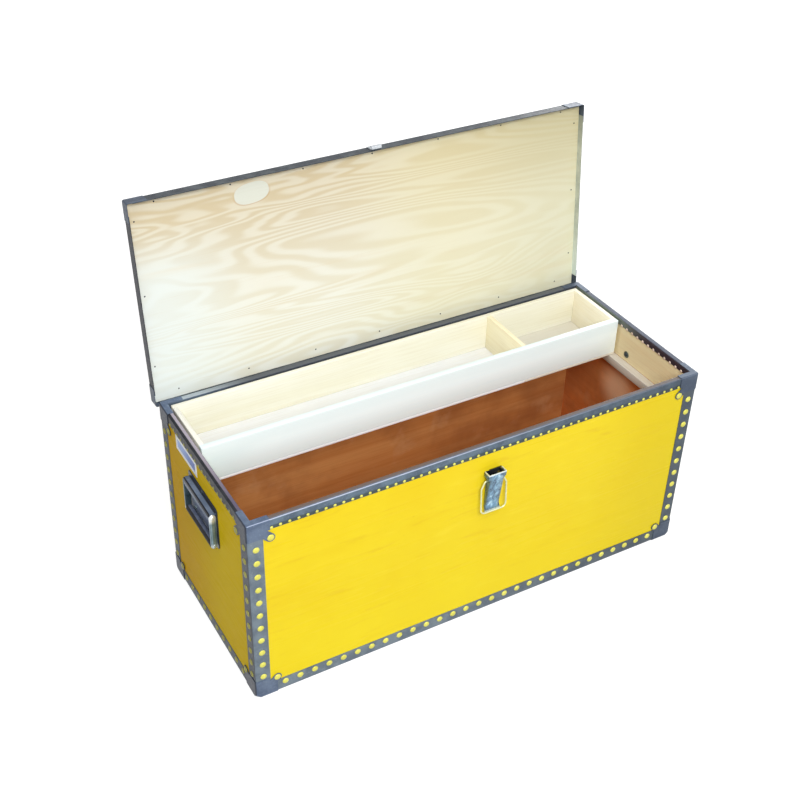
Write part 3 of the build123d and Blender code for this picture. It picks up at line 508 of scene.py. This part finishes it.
# Handle arms: zinc, with painted highlights about the pivot and by the grip, and painted shade on the arms
# at the back.
shader = Shader("arm_zinc", Metallic=0.7)
cloud = shader.noise(shader.scaled((45.0, 45.0, 45.0)), 1.0, 4.0, 0.6)
zinc = shader.mix(shader.ramp(cloud, 0.35, 0.65), (98, 122, 134), (132, 154, 166))
near = shader.ramp(shader.axis(1), 0.0, -0.05)
bright = shader.times(shader.ramp(shader.axis(2), 0.306, 0.3175, 0.0, 0.9), near)
zinc = shader.mix(bright, zinc, (236, 240, 244))
zinc = shader.mix(shader.math("SUBTRACT", 0.6, shader.times(near, 0.6)), zinc, (62, 84, 88))
zinc = shader.mix(shader.ramp(shader.axis(2), 0.266, 0.258, 0.0, 0.6), zinc, (214, 222, 226))
shader.colour(zinc)
shader.roughness(shader.ramp(cloud, 0.3, 0.7, 0.26, 0.38))
shader.bump(cloud, 0.0002, 0.2)
arm_zinc = shader.material

# Handle plates: slate, with painted shade round the recess and in the crease of the ledge, and painted
# light on a bluish pan in the recess.
shader = Shader("dark_plate_steel", Metallic=0.15, IOR=1.3)
cloud = shader.noise(shader.scaled((30.0, 30.0, 30.0)), 1.0, 4.0, 0.6)
specks = shader.noise(shader.scaled((90.0, 90.0, 90.0)), 1.0, 3.0, 0.6)
slate = shader.mix(shader.ramp(cloud, 0.35, 0.65), (88, 102, 124), (108, 122, 144))
slate = shader.mix(shader.ramp(specks, 0.60, 0.80, 0.0, 0.4), slate, (150, 162, 180))
height, aside = shader.axis(2), out_from_middle(shader)
beside, between = shader.ramp(aside, 0.0566, 0.0572), shader.ramp(aside, 0.0572, 0.0566)
close_in = shader.ramp(out_of_end(shader), 0.4602, 0.4594)
near_wall = shader.times(close_in, shader.above(height, 0.3268, 0.0004))
rim_shade = shader.most(shader.most(beside, near_wall), shader.above(height, 0.3292, 0.0004))
slate = shader.mix(shader.times(rim_shade, 0.9), slate, (24, 26, 32))
crease_shade = shader.times(shader.ramp(out_of_end(shader), 0.4670, 0.4676), shader.above(height, 0.3215, 0.0006))
slate = shader.mix(shader.times(crease_shade, 0.95), slate, (14, 16, 22))
# Painted light on the pan, low in the recess.
pan = shader.times(shader.ramp(height, 0.3090, 0.3075), between)
slate = shader.mix(shader.times(pan, 0.9), slate, (122, 134, 158))
shader.colour(slate)
shader.roughness(shader.ramp(specks, 0.3, 0.7, 0.34, 0.46))
shader.bump(specks, 0.00012, 0.15)
dark_plate = shader.material

shader = Shader("grip_rubber", Specular_IOR_Level=0.35)
pores = shader.noise(shader.scaled((600.0, 600.0, 600.0)), 1.0, 2.0, 0.6)
dust = blotches(shader, 60.0, 2.0)
black = shader.mix(shader.ramp(dust, 0.5, 0.8), (14, 14, 19), (34, 34, 42))
# The grip's upper half towards the wall is painted lighter, as light falling on it; its outer side and
# underside stay black.
lit_top = shader.mix(shader.ramp(dust, 0.3, 0.7), (84, 92, 112), (102, 110, 130))
below = shader.ramp(shader.axis(2), 0.2572, 0.2560)
outer = shader.most(shader.ramp(out_of_end(shader), 0.4662, 0.4672), below)
shader.colour(shader.mix(outer, lit_top, black))
shader.roughness(shader.ramp(pores, 0.3, 0.7, 0.50, 0.70))
shader.bump(pores, 0.0002, 0.4)
rubber = shader.material

# Tray and cleats: name, axis of the grain, light, middle and dark.
# The tray front's bluish white is painted sky light.
SKY_LIT_WHITE = ((244, 255, 255), (242, 255, 255), (234, 250, 254))
CREAM = ((240, 240, 232), (235, 232, 218), (216, 208, 186))
# The tray's right end is painted paler, as light.
LIT_PALE = ((252, 246, 228), (248, 240, 216), (230, 218, 188))
CLEAT = ((199, 193, 182), (191, 182, 168), (170, 154, 130))
woods = {}
for name, along, light, middle, dark in (
    ("tray_front", 0, *SKY_LIT_WHITE),
    ("tray_back", 0, (236, 234, 220), (230, 226, 204), (212, 202, 174)),
    ("tray_floor", 0, (230, 232, 236), (228, 229, 228), (211, 206, 196)),
    ("tray_divider", 1, (253, 246, 216), (249, 238, 204), (226, 210, 172)),
    ("tray_left_end", 1, *CREAM),
    ("tray_right_end", 1, *LIT_PALE),
    ("tray_cleat_left", 1, *CLEAT),
    ("tray_cleat_right", 1, *CLEAT),
):
    shader = Shader(name + "_wood", Specular_IOR_Level=0.3)
    broad, fibres = grain(shader, along, 1.3, 2.0 + len(name))
    wood = stained(shader, broad, fibres, light, middle, dark, streak=0.5)
    if name == "tray_floor":
        short = shader.times(shader.above(shader.axis(0), 0.224), 0.5)
        wood = shader.mix(short, wood, (206, 196, 164))
    if name == "tray_front":
        # Painted light on the front board: bluish towards the left end as sky light, and darker at the top
        # as shade.
        wood = shader.mix(shader.ramp(shader.axis(0), -0.30, -0.44, 0.0, 0.7), wood, (216, 234, 236))
        wood = shader.mix(shader.ramp(shader.axis(2), 0.362, 0.390), wood, (230, 243, 243))
    else:
        warm = shader.ramp(blotches(shader, 4.5, 6.0 + len(name)), 0.42, 0.70, 0.0, 0.45)
        wood = shader.mix(shader.times(warm, 0.30), wood, dark)
    shader.colour(wood)
    shader.roughness(shader.ramp(fibres, 0.3, 0.7, 0.42, 0.55))
    shader.bump(fibres, 0.00010, 0.35)
    woods[name] = shader.material

# Lid panel: birch inside with an oval repair plug, paint outside.
shader = Shader("lid_panel_wood", IOR=1.3)
outside, broad, fibres = paint(shader, 0, 21.0)
x, up, out = shader.axis(0), along_lid(shader, LID_UP), along_lid(shader, LID_OUT)
figure = shader.noise(shader.scaled((1.3, 8.0, 8.0), place=(0.7, 0.3, 0.2)), 1.0, 2.5, 0.5, 0.5)
rings = shader.math("SINE", shader.times(figure, 150.0))
low = shader.mix(shader.ramp(rings, -1.0, 1.0, 0.0, 0.7), (234, 234, 221), (223, 218, 194))
high = shader.mix(shader.ramp(rings, -1.0, 1.0, 0.0, 0.9), (213, 204, 180), (200, 183, 147))
birch = shader.mix(shader.ramp(up, 0.10, 0.40), low, high)
# Towards the right, and most at the top right, the birch is painted darker as shade.
birch = shader.mix(shader.ramp(x, -0.12, 0.16, 0.0, 0.42), birch, (226, 219, 172))
birch = shader.mix(shader.ramp(x, 0.18, 0.45, 0.0, 0.40), birch, (206, 206, 178))
high_right = shader.times(shader.ramp(x, 0.02, 0.44), shader.ramp(up, 0.18, 0.38, 0.0, 0.42))
birch = shader.mix(high_right, birch, (176, 164, 118))
# A painted reflection of the sky, pale blue, low on the left.
sky_reflection = shader.times(shader.ramp(x, -0.22, -0.43), shader.ramp(up, 0.34, 0.22, 0.0, 0.65))
birch = shader.mix(sky_reflection, birch, (225, 235, 234))
birch = shader.mix(shader.ramp(fibres, 0.58, 0.82, 0.0, 0.30), birch, (208, 190, 150))
birch = shader.mix(shader.ramp(broad, 0.52, 0.80, 0.0, 0.30), birch, (218, 200, 160))

# The plug's place, tilt and half sizes.
PLUG_X, PLUG_UP, TILT, PLUG_LONG, PLUG_HIGH = -0.235, 0.353, math.radians(5), 0.0328, 0.0190
off_x, off_up = shader.math("SUBTRACT", x, PLUG_X), shader.math("SUBTRACT", up, PLUG_UP)
plug_x = shader.math("ADD", shader.times(off_x, math.cos(TILT)), shader.times(off_up, math.sin(TILT)))
plug_up = shader.math("SUBTRACT", shader.times(off_up, math.cos(TILT)), shader.times(off_x, math.sin(TILT)))
squares = [
    shader.math("POWER", shader.math("ABSOLUTE", shader.math("DIVIDE", value, half)), 2.4)
    for value, half in ((plug_x, PLUG_LONG), (plug_up, PLUG_HIGH))
]
far = shader.math("SQRT", shader.math("ADD", *squares))
plug = shader.ramp(far, 1.02, 0.97)
ring = shader.times(shader.ramp(far, 1.16, 1.03), shader.ramp(plug_up, 0.008, -0.018, 0.10, 0.55))
birch = shader.mix(ring, birch, (186, 150, 108))
patch = shader.mix(shader.ramp(fibres, 0.4, 0.8, 0.0, 0.4), (214, 216, 203), (206, 205, 186))
birch = shader.mix(plug, birch, patch)
shader.colour(shader.mix(shader.above(out, PAINT_FACE), birch, outside))
shader.roughness(shader.ramp(fibres, 0.3, 0.7, 0.34, 0.46))
shader.bump(fibres, 0.0001, 0.3)
dress(shader.material, "lid_panel")

# A blank printed label.
shader = Shader("label_paper", Coat_Weight=0.15, Coat_Roughness=0.15, IOR=1.2)
across, height = shader.axis(1), shader.axis(2)
within = shader.ramp(shader.off(across, (LABEL_Y - BACK) / 1000), 0.0410, 0.0400)
inside_bar = shader.ramp(shader.off(height, LABEL_Z / 1000), 0.0092, 0.0084)
ink = shader.mix(shader.ramp(across, 0.0, 0.085), (84, 112, 190), (166, 192, 244))
fleck = shader.noise(shader.scaled((300.0, 300.0, 300.0)), 1.0, 2.0)
paper = shader.mix(fleck, (254, 255, 255), (242, 247, 250))
shader.colour(shader.mix(shader.times(within, inside_bar), paper, ink))
shader.roughness(shader.ramp(fleck, 0.3, 0.7, 0.40, 0.50))
label_paper = shader.material

# ------------------------------------------------------------------------------ mesh building


def piece(name, mesh, body, slot, material, *replaced):
    """Make a piece from a mesh. Its edges over 35 degrees stay sharp, the rest is shaded smooth."""
    mesh.normal_update()
    data = bpy.data.meshes.new(name)
    mesh.to_mesh(data)
    mesh.free()
    for face in data.polygons:
        face.use_smooth = True
    data.set_sharp_from_angle(angle=SHARP)
    made = bpy.data.objects.new(name, data)
    bpy.context.scene.collection.objects.link(made)
    data.materials.append(material)
    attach(made, body)
    if replaced:
        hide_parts(*replaced)
    return made


def softened(name, width, body, slot, material):
    """A copy of a CAD node with its edges eased, in place of it."""
    mesh = bmesh.new()
    mesh.from_mesh(nodes[name].data)
    bmesh.ops.remove_doubles(mesh, verts=mesh.verts, dist=1e-6)
    bmesh.ops.dissolve_limit(mesh, angle_limit=math.radians(1), verts=mesh.verts, edges=mesh.edges)
    sharp = [
        edge for edge in mesh.edges
        if len(edge.link_faces) == 2 and edge.calc_face_angle(0) > SHARP and edge.calc_length() > 4e-4
    ]
    bmesh.ops.bevel(
        mesh, geom=sharp, offset=width / 1000, segments=2, profile=0.5, affect="EDGES", clamp_overlap=True
    )
    return piece(name + "_eased", mesh, body, slot, material, name)


def bridge(mesh, rings):
    """Faces between rings of vertices; a ring of one vertex closes the end."""
    for lower, upper in zip(rings, rings[1:]):
        count = max(len(lower), len(upper))
        for step in range(count):
            after = (step + 1) % count
            if len(lower) == 1:
                mesh.faces.new((lower[0], upper[after], upper[step]))
            elif len(upper) == 1:
                mesh.faces.new((lower[step], lower[after], upper[0]))
            else:
                mesh.faces.new((lower[step], lower[after], upper[after], upper[step]))


def lathe(mesh, profile, segments, frame_matrix):
    """Turn a profile of (radius, height) points, in millimetres, round the frame's Z axis."""
    rings = []
    for radius, height in profile:
        spots = [Vector((0, 0, height))]
        if radius:
            turns = [2 * math.pi * step / segments for step in range(segments)]
            spots = [Vector((radius * math.cos(turn), radius * math.sin(turn), height)) for turn in turns]
        rings.append([mesh.verts.new(frame_matrix @ (spot / 1000)) for spot in spots])
    bridge(mesh, rings)


def both_ways(half):
    """A profile from its right half, mirrored to the left."""
    return [(radius, -height) for radius, height in reversed(half)] + half[1:]


def frame_on(spot, normal):
    """A frame at a place, its Z axis along normal."""
    turn = Vector(normal).to_track_quat("Z", "Y").to_matrix().to_4x4()
    return Matrix.Translation(spot) @ turn


def head(mesh, spot, normal, radius, height, segments=12, rings=3, foot=0.12):
    """A domed head on a surface."""
    profile = [(0, 0), (radius, 0), (radius, foot)]
    for step in range(1, rings + 1):
        angle = math.pi / 2 * step / rings
        reach = radius * math.cos(angle) if step < rings else 0
        profile.append((reach, foot + (height - foot) * math.sin(angle)))
    lathe(mesh, profile, segments, frame_on(spot, normal))


def screw(mesh, spot, normal, radius, height):
    """A pan head with a cross recess."""
    segments, rings = 24, []
    matrix = frame_on(spot, normal)
    for ring, high, deep in (  # shares of the radius and the height, and how deep the recess is
        (1.0, 0.0, 0), (1.0, 0.25, 0), (0.93, 0.62, 0), (0.78, 0.88, 0), (0.62, 0.98, 0),
        (0.56, 1.0, 0.35), (0.3, 1.0, 0.6),
    ):
        spots = []
        for step in range(segments):
            turn = 2 * math.pi * step / segments
            arm = max(abs(math.cos(turn)), abs(math.sin(turn))) > 0.96
            z = height * high - (height * deep if arm else 0)
            spot = Vector((radius * ring * math.cos(turn), radius * ring * math.sin(turn), z)) / 1000
            spots.append(mesh.verts.new(matrix @ spot))
        rings.append(spots)
    rings.append([mesh.verts.new(matrix @ Vector((0, 0, height * 0.4 / 1000)))])
    bridge(mesh, [[mesh.verts.new(matrix @ Vector((0, 0, 0)))]] + rings)


def tube(mesh, path, radius, segments=12):
    """A round bar along a path of points, its ends slightly rounded."""
    count = len(path)
    tangents = [(path[min(i + 1, count - 1)] - path[max(i - 1, 0)]).normalized() for i in range(count)]
    side = tangents[0].orthogonal().normalized()
    rings = [[mesh.verts.new(path[0])]]
    for index, (spot, tangent) in enumerate(zip(path, tangents)):
        side = (side - side.dot(tangent) * tangent).normalized()
        other = tangent.cross(side)
        shares = (0.7, 1.0) if index == 0 else (1.0, 0.7) if index == count - 1 else (1.0,)
        for share in shares:
            shift = 0.0
            if index == 0 and share == 1.0:
                shift = 0.3 * radius
            elif index == count - 1 and share == 1.0:
                shift = -0.3 * radius
            ring = []
            for step in range(segments):
                turn = 2 * math.pi * step / segments
                out = (side * math.cos(turn) + other * math.sin(turn)) * radius * share
                ring.append(mesh.verts.new(spot + (tangent * shift + out) / 1000))
            rings.append(ring)
    rings.append([mesh.verts.new(path[-1])])
    bridge(mesh, rings)


def rounded(corners, radii, steps=6):
    """Points along straight runs with an arc of the given radius at each inner corner."""
    points = [Vector(corners[0])]
    for before, corner, after, radius in zip(corners, corners[1:], corners[2:], radii):
        before, corner, after = Vector(before), Vector(corner), Vector(after)
        come, go = (corner - before).normalized(), (after - corner).normalized()
        turn = come.angle(go)
        reach = radius * math.tan(turn / 2)
        start, stop = corner - come * reach, corner + go * reach
        middle = corner + (go - come).normalized() * radius / math.cos(turn / 2)
        for step in range(steps + 1):
            share = step / steps
            points.append(
                middle
                + (start - middle) * math.sin((1 - share) * turn) / math.sin(turn)
                + (stop - middle) * math.sin(share * turn) / math.sin(turn)
            )
    points.append(Vector(corners[-1]))
    return points


def islands(name):
    """The separate solids of a CAD node: (lowest corner, highest corner) each."""
    mesh = bmesh.new()
    mesh.from_mesh(nodes[name].data)
    bmesh.ops.remove_doubles(mesh, verts=mesh.verts, dist=1e-6)
    left, found = set(mesh.verts), []
    while left:
        stack, group = [left.pop()], []
        while stack:
            vertex = stack.pop()
            group.append(vertex.co.copy())
            for edge in vertex.link_edges:
                other = edge.other_vert(vertex)
                if other in left:
                    left.remove(other)
                    stack.append(other)
        low = Vector([min(c[i] for c in group) for i in range(3)])
        high = Vector([max(c[i] for c in group) for i in range(3)])
        found.append((low, high))
    mesh.free()
    return sorted(found, key=lambda pair: tuple(round(v, 4) for v in pair[0]))


def seats(name):
    """Where each of a node's heads sits: (place, outward normal, radius, height)."""
    for low, high in islands(name):
        middle, size = (low + high) / 2, high - low
        thin = min(range(3), key=lambda i: size[i])
        place = middle[thin] * 1000 + (BACK if thin == 1 else 0)
        wall = (INNER_X + PLY_X) / 2 if thin == 0 else (INNER_Y + PLY_Y) / 2
        outward = math.copysign(1, place) * (1 if thin == 2 or abs(place) > wall else -1)
        if thin == 2:
            outward = -1
        base = middle.copy()
        base[thin] = low[thin] if outward > 0 else high[thin]
        normal = Vector((0, 0, 0))
        normal[thin] = outward
        yield base, normal, max(size) * 500, size[thin] * 1000


def domes(name, wider=1.0, segments=16, rings=5):
    """A node's heads, turned as domes wider than the node's own by a factor."""
    mesh = bmesh.new()
    for base, normal, radius, height in seats(name):
        head(mesh, base, normal, radius * wider, height, segments, rings)
    return mesh


# ------------------------------------------------------------------------------ rivets

BINDING_WIDER, CORNER_WIDER = 1.32, 1.4  # the photo's heads are wider than the CAD's
mesh = domes("binding_rivets", BINDING_WIDER)
piece("binding_rivet_heads", mesh, "chest", "rivet_plate", rivet_plate, "binding_rivets")
mesh = domes("corner_rivets", CORNER_WIDER)
piece("corner_rivet_heads", mesh, "chest", "rivet_plate", rivet_plate, "corner_rivets")
piece("latch_rivet_heads", domes("latch_rivets"), "chest", "bright_zinc", bright_zinc, "latch_rivets")


def spread(first, last, pitch):
    """Evenly spaced places from first to last, about pitch apart."""
    count = max(1, round((last - first) / pitch))
    return [first + (last - first) * index / count for index in range(count + 1)]


RIM_PITCH, RIVET_Z, TAIL_Z = 16.2, 381.6, 386.0
BRACKET_END, BRACKET_STEEL = 408.2, 1.2
PANEL_FACE = 17.6  # out from the hinge pins: the lid panel's inner face
outer, inner = bmesh.new(), bmesh.new()
for toward in (-1, 1):
    for x in spread(-414, 411, RIM_PITCH):
        lift = BRACKET_STEEL if abs(x) > BRACKET_END else 0.0
        head(outer, at(x, toward * (HALF_Y + lift), RIVET_Z), (0, toward, 0), 2.8, 1.2)
        head(inner, at(x, toward * (INNER_Y - SHEET), TAIL_Z), (0, -toward, 0), 3.0, 1.0)
    for y in spread(-155, 139, RIM_PITCH):
        head(outer, at(toward * HALF_X, y, RIVET_Z), (toward, 0, 0), 2.8, 1.2)
        head(inner, at(toward * (INNER_X - SHEET), y, TAIL_Z), (-toward, 0, 0), 3.0, 1.0)
piece("rim_rivet_heads", outer, "chest", "rivet_plate", rivet_plate)
piece("rim_rivet_tails", inner, "chest", "rivet_plate", tail_in_red_bounce)

mesh = bmesh.new()
for x in spread(-410, 415, 137.5):
    for up in (18.0, 376.0):
        head(mesh, on_lid(x, up, PANEL_FACE), -LID_OUT, 1.5, 0.35, 10, 2)
for x in (-448.0, 448.0):
    for up in (74.0, 211.0, 348.0):
        head(mesh, on_lid(x, up, PANEL_FACE), -LID_OUT, 1.5, 0.35, 10, 2)
piece("lid_nail_heads", mesh, "lid", "dark_steel", dark_plate)

# ------------------------------------------------------------------------------ latch and keeper

softened("latch_lever", 0.35, "latch_lever", "blue_zinc", blue_zinc)
softened("latch_base", 0.3, "chest", "blue_zinc", shaded_base_zinc)
softened("keeper", 0.35, "lid", "bright_zinc", bright_zinc)
BAIL_TILT, BAIL_REACH, BAIL_Z = math.radians(4.0), 68.0, 324.0
half = [(26, -BAIL_REACH), (26, -14), (18.5, 0), (11.5, 0)]
corners = [(-x, y) for x, y in reversed(half)] + half
path = [
    at(LATCH_X + p.x, -PLY_Y - 8.0 + p.y * math.sin(BAIL_TILT), BAIL_Z + p.y * math.cos(BAIL_TILT))
    for p in rounded([(*c, 0) for c in corners], (3, 3, 9, 9, 3, 3))
]
mesh = bmesh.new()
tube(mesh, path, 1.5)
piece("latch_bail_wire", mesh, "latch_bail", "bright_zinc", wire_zinc, "latch_bail")

mesh = bmesh.new()
half = [(2.0, 0), (2.0, 18.08), (3.4, 18.08), (3.4, 18.5), (3.0, 18.95), (1.9, 19.2), (0, 19.28)]
lathe(mesh, both_ways(half), 20, frame_on(at(LATCH_X, -PLY_Y - 12.5, 336.5), (1, 0, 0)))
piece("latch_pin_turned", mesh, "chest", "blue_zinc", blue_zinc, "latch_lever_pin")

mesh = bmesh.new()
for low, high in islands("keeper_rivets"):
    head(mesh, (low + high) / 2 - LID_UP * 0.0005, LID_UP, 3.0, 1.0, 16, 4)
piece("keeper_rivet_heads", mesh, "lid", "bright_zinc", bright_zinc, "keeper_rivets")

# ------------------------------------------------------------------------------ handles

mesh = bmesh.new()
for base, normal, radius, height in seats("handle_rivets"):
    if base.z < 0.3:
        screw(mesh, base, normal, radius, height)
    else:
        head(mesh, base, normal, radius, height, 20, 5)
piece("handle_screw_heads", mesh, "chest", "bright_zinc", screw_zinc, "handle_rivets")

mesh = bmesh.new()
for base, normal, radius, height in seats("handle_washers"):
    profile = [
        (0, 0), (radius, 0), (radius, height - 0.4), (radius - 0.4, height), (2.6, height),
        (2.4, height - 0.1), (0, height - 0.1),
    ]
    lathe(mesh, profile, 28, frame_on(base, normal))
piece("handle_washers_turned", mesh, "chest", "bright_zinc", washer_zinc, "handle_washers")


def arm(mesh, x, y, toward, top, low, radius, thick):
    """A pressed handle arm: a long rounded plate with a rib, its outer face towards toward."""
    layers = (  # inset from the edge, and depth
        (3.4, 0), (0.5, 0), (0, 0.5), (0, thick - 0.5), (0.5, thick), (2.0, thick),
        (2.8, thick + 0.5), (4.0, thick + 0.6),
    )
    rings = [[mesh.verts.new(at(x, y, (top + low) / 2))]]
    for inset, depth in layers:
        ring, size = [], radius - inset
        for middle, first in ((top, 0), (low, 180)):
            for step in range(13):
                turn = math.radians(first + 15 * step)
                across, high = size * math.cos(turn), size * math.sin(turn)
                ring.append(mesh.verts.new(at(x + across, y + toward * depth, middle + high)))
        rings.append(ring)
    rings.append([mesh.verts.new(at(x, y + toward * (thick + 0.6), (top + low) / 2))])
    bridge(mesh, rings)


ARM_Y, ARM_HEAD_Y, ROD_END = 56.5, 60.1, 58  # each side of the handle's middle
for side, toward in (("left", -1), ("right", 1)):
    softened("handle_plate_" + side, 0.5, "chest", "dark_steel", dark_plate)
    x = toward * (PLY_X + BAIL_OUT)
    mesh = bmesh.new()
    rod = [(0, -ROD_END), (2.75, -ROD_END), (2.75, ROD_END), (0, ROD_END)]
    lathe(mesh, rod, 20, frame_on(at(x, 0, PIVOT_Z), (0, 1, 0)))
    rod = [(0, -ROD_END), (3.0, -ROD_END), (3.0, ROD_END), (0, ROD_END)]
    lathe(mesh, rod, 20, frame_on(at(x, 0, GRIP_Z), (0, 1, 0)))
    for way in (-1, 1):
        arm(mesh, x, way * ARM_Y, way, PIVOT_Z, GRIP_Z, 6.0, 3.0)
        for height, radius in ((PIVOT_Z, 3.6), (GRIP_Z, 3.9)):
            head(mesh, at(x, way * ARM_HEAD_Y, height), (0, way, 0), radius, 1.1, 20, 4)
    body = "handle_" + side
    piece("handle_bail_pressed_" + side, mesh, body, "bright_zinc", arm_zinc, "handle_bail_" + side)
    mesh = bmesh.new()
    profile = [(0, -56.2), (4.9, -56.2), (6.1, -55.8), (6.5, -54.8)]
    for middle in spread(-50.4, 50.4, 5.6):
        profile += [(6.5, middle - 0.9), (6.05, middle - 0.4), (6.05, middle + 0.4), (6.5, middle + 0.9)]
    profile += [(6.5, 54.8), (6.1, 55.8), (4.9, 56.2), (0, 56.2)]
    lathe(mesh, profile, 28, frame_on(at(x, 0, GRIP_Z), (0, 1, 0)))
    piece("handle_grip_ribbed_" + side, mesh, body, "grip_rubber", rubber, "handle_grip_" + side)

# ------------------------------------------------------------------------------ hinges, tray, label

HINGE_X = 320
softened("hinge_leaves_body", 0.25, "chest", "bright_zinc", bright_zinc)
softened("hinge_leaves_lid", 0.25, "lid", "bright_zinc", bright_zinc)
mesh = bmesh.new()
half = [(1.6, 0), (1.6, 26.0), (2.6, 26.05), (2.6, 26.6), (2.1, 27.05), (1.2, 27.2), (0, 27.2)]
for x in (-HINGE_X, HINGE_X):
    lathe(mesh, both_ways(half), 18, frame_on(at(x, *PIN), (1, 0, 0)))
piece("hinge_pins_turned", mesh, "chest", "bright_zinc", bright_zinc, "hinge_pins")

for name, material in woods.items():
    cleat = name.startswith("tray_cleat")
    softened(name, 1.2 if cleat else 0.8, "chest" if cleat else "tray", "tray_wood", material)

mesh = bmesh.new()
rings = []
for inset, off in ((0, 0.0), (0, 0.15), (0.15, 0.2), (12.0, 0.2)):
    ring = []
    half_y, half_z, bend = 48.0 - inset, 16.2 - inset, 2.0 if inset < 1 else 0.5
    for corner, (way_y, way_z) in enumerate(((1, 1), (-1, 1), (-1, -1), (1, -1))):
        for step in range(5):
            turn = math.radians(90 * corner + 22.5 * step)
            y = LABEL_Y + way_y * (half_y - bend) + bend * math.cos(turn)
            z = LABEL_Z + way_z * (half_z - bend) + bend * math.sin(turn)
            ring.append(mesh.verts.new(at(-PLY_X - off, y, z)))
    rings.append(ring)
rings.append([mesh.verts.new(at(-PLY_X - 0.2, LABEL_Y, LABEL_Z))])
bridge(mesh, rings)
bmesh.ops.recalc_face_normals(mesh, faces=mesh.faces)
piece("blank_label", mesh, "chest", "painted_plywood", label_paper)

# ------------------------------------------------------------------------------ camera, floor and lights

camera_data = bpy.data.cameras.new("camera")
camera = bpy.data.objects.new("camera", camera_data)
bpy.context.scene.collection.objects.link(camera)
bpy.context.scene.camera = camera
AZIMUTH, ELEVATION, ROLL = math.radians(29.7697), math.radians(35.5106), 0.0201
CAMERA_PLACE = (-998.24, -1569.44, 1701.72)
SENSOR, FOCAL_PIXELS, PICTURE_PIXELS = 36, 1251.65, 800
forward = Vector(
    (math.sin(AZIMUTH) * math.cos(ELEVATION), math.cos(AZIMUTH) * math.cos(ELEVATION), -math.sin(ELEVATION))
)
level = forward.cross(Vector((0, 0, 1))).normalized()
upright = level.cross(forward)
right = math.cos(ROLL) * level + math.sin(ROLL) * upright
up = -math.sin(ROLL) * level + math.cos(ROLL) * upright
camera.matrix_world = Matrix.Translation(at(*CAMERA_PLACE)) @ Matrix(
    (right, up, -forward)
).transposed().to_4x4()
camera_data.sensor_width = SENSOR
camera_data.lens = FOCAL_PIXELS / PICTURE_PIXELS * SENSOR
camera_data.shift_x = 0.01666
camera_data.shift_y = -0.00432
camera_data.clip_end = 50

mesh = bmesh.new()
bmesh.ops.create_grid(mesh, x_segments=8, y_segments=8, size=12.0)
data = bpy.data.meshes.new("studio_floor")
mesh.to_mesh(data)
mesh.free()
floor = bpy.data.objects.new("studio_floor", data)
bpy.context.scene.collection.objects.link(floor)


def background_rays(tree):
    """1 for the rays that show the background: from the camera, and through gloss or glass."""
    path = tree.nodes.new("ShaderNodeLightPath")
    most = path.outputs["Is Camera Ray"]
    for kind in ("Is Glossy Ray", "Is Transmission Ray"):
        join = tree.nodes.new("ShaderNodeMath")
        join.operation = "MAXIMUM"
        tree.links.new(most, join.inputs[0])
        tree.links.new(path.outputs[kind], join.inputs[1])
        most = join.outputs[0]
    return most


shader = Shader("floor_paper", Specular_IOR_Level=0.0, Roughness=0.9)
fibre = shader.noise(shader.scaled((3.0, 3.0, 3.0)), 1.0, 2.0)
shader.colour(shader.mix(fibre, (0.42, 0.42, 0.42, 1), (0.44, 0.44, 0.44, 1)))
glow = shader.node("ShaderNodeEmission")
# The glow makes the floor white. It is stronger where the lamps reach less.
away = shader.most(shader.math("ABSOLUTE", shader.axis(0)), shader.math("ABSOLUTE", shader.axis(1)))
level = shader.ramp(away, 1.3, 2.3, 0.72, 0.95)
shader.feed(glow.inputs["Strength"], shader.times(background_rays(shader.tree), level))
both = shader.node("ShaderNodeAddShader")
shader.tree.links.new(shader.surface.outputs[0], both.inputs[0])
shader.tree.links.new(glow.outputs[0], both.inputs[1])
shader.tree.links.new(both.outputs[0], shader.tree.nodes["Material Output"].inputs["Surface"])
data.materials.append(shader.material)

world = bpy.data.worlds.new("studio")
bpy.context.scene.world = world
world.use_nodes = True
background = world.node_tree.nodes["Background"]
background.inputs["Color"].default_value = (1, 1, 1, 1)
AMBIENT = 0.38  # on the object; the background itself is at 1, white
most = background_rays(world.node_tree)
level_node = world.node_tree.nodes.new("ShaderNodeMapRange")
level_node.inputs["To Min"].default_value = AMBIENT
level_node.inputs["To Max"].default_value = 1.0
world.node_tree.links.new(most, level_node.inputs["Value"])
world.node_tree.links.new(level_node.outputs[0], background.inputs["Strength"])


def lamp(name, place, target, size, power):
    data = bpy.data.lights.new(name, "AREA")
    data.shape = "DISK"
    data.size = size
    data.energy = power
    made = bpy.data.objects.new(name, data)
    bpy.context.scene.collection.objects.link(made)
    made.location = place
    made.rotation_euler = (target - place).to_track_quat("-Z", "Y").to_euler()
    return made


lamp("key_light", Vector((-0.95, -2.8, 2.9)), Vector((0, 0, 0.3)), 1.8, 123.0)
lamp("top_light", Vector((-0.5, -0.9, 3.6)), Vector((0, 0, 0.2)), 2.2, 26.0)
lamp("fill_light", Vector((1.6, -2.4, 1.9)), Vector((0.2, 0, 0.3)), 1.6, 8.0)
lamp("back_light", Vector((2.2, 1.6, 1.2)), Vector((0, 0, 0.3)), 1.6, 36.0)

bpy.context.scene.view_settings.view_transform = "Standard"
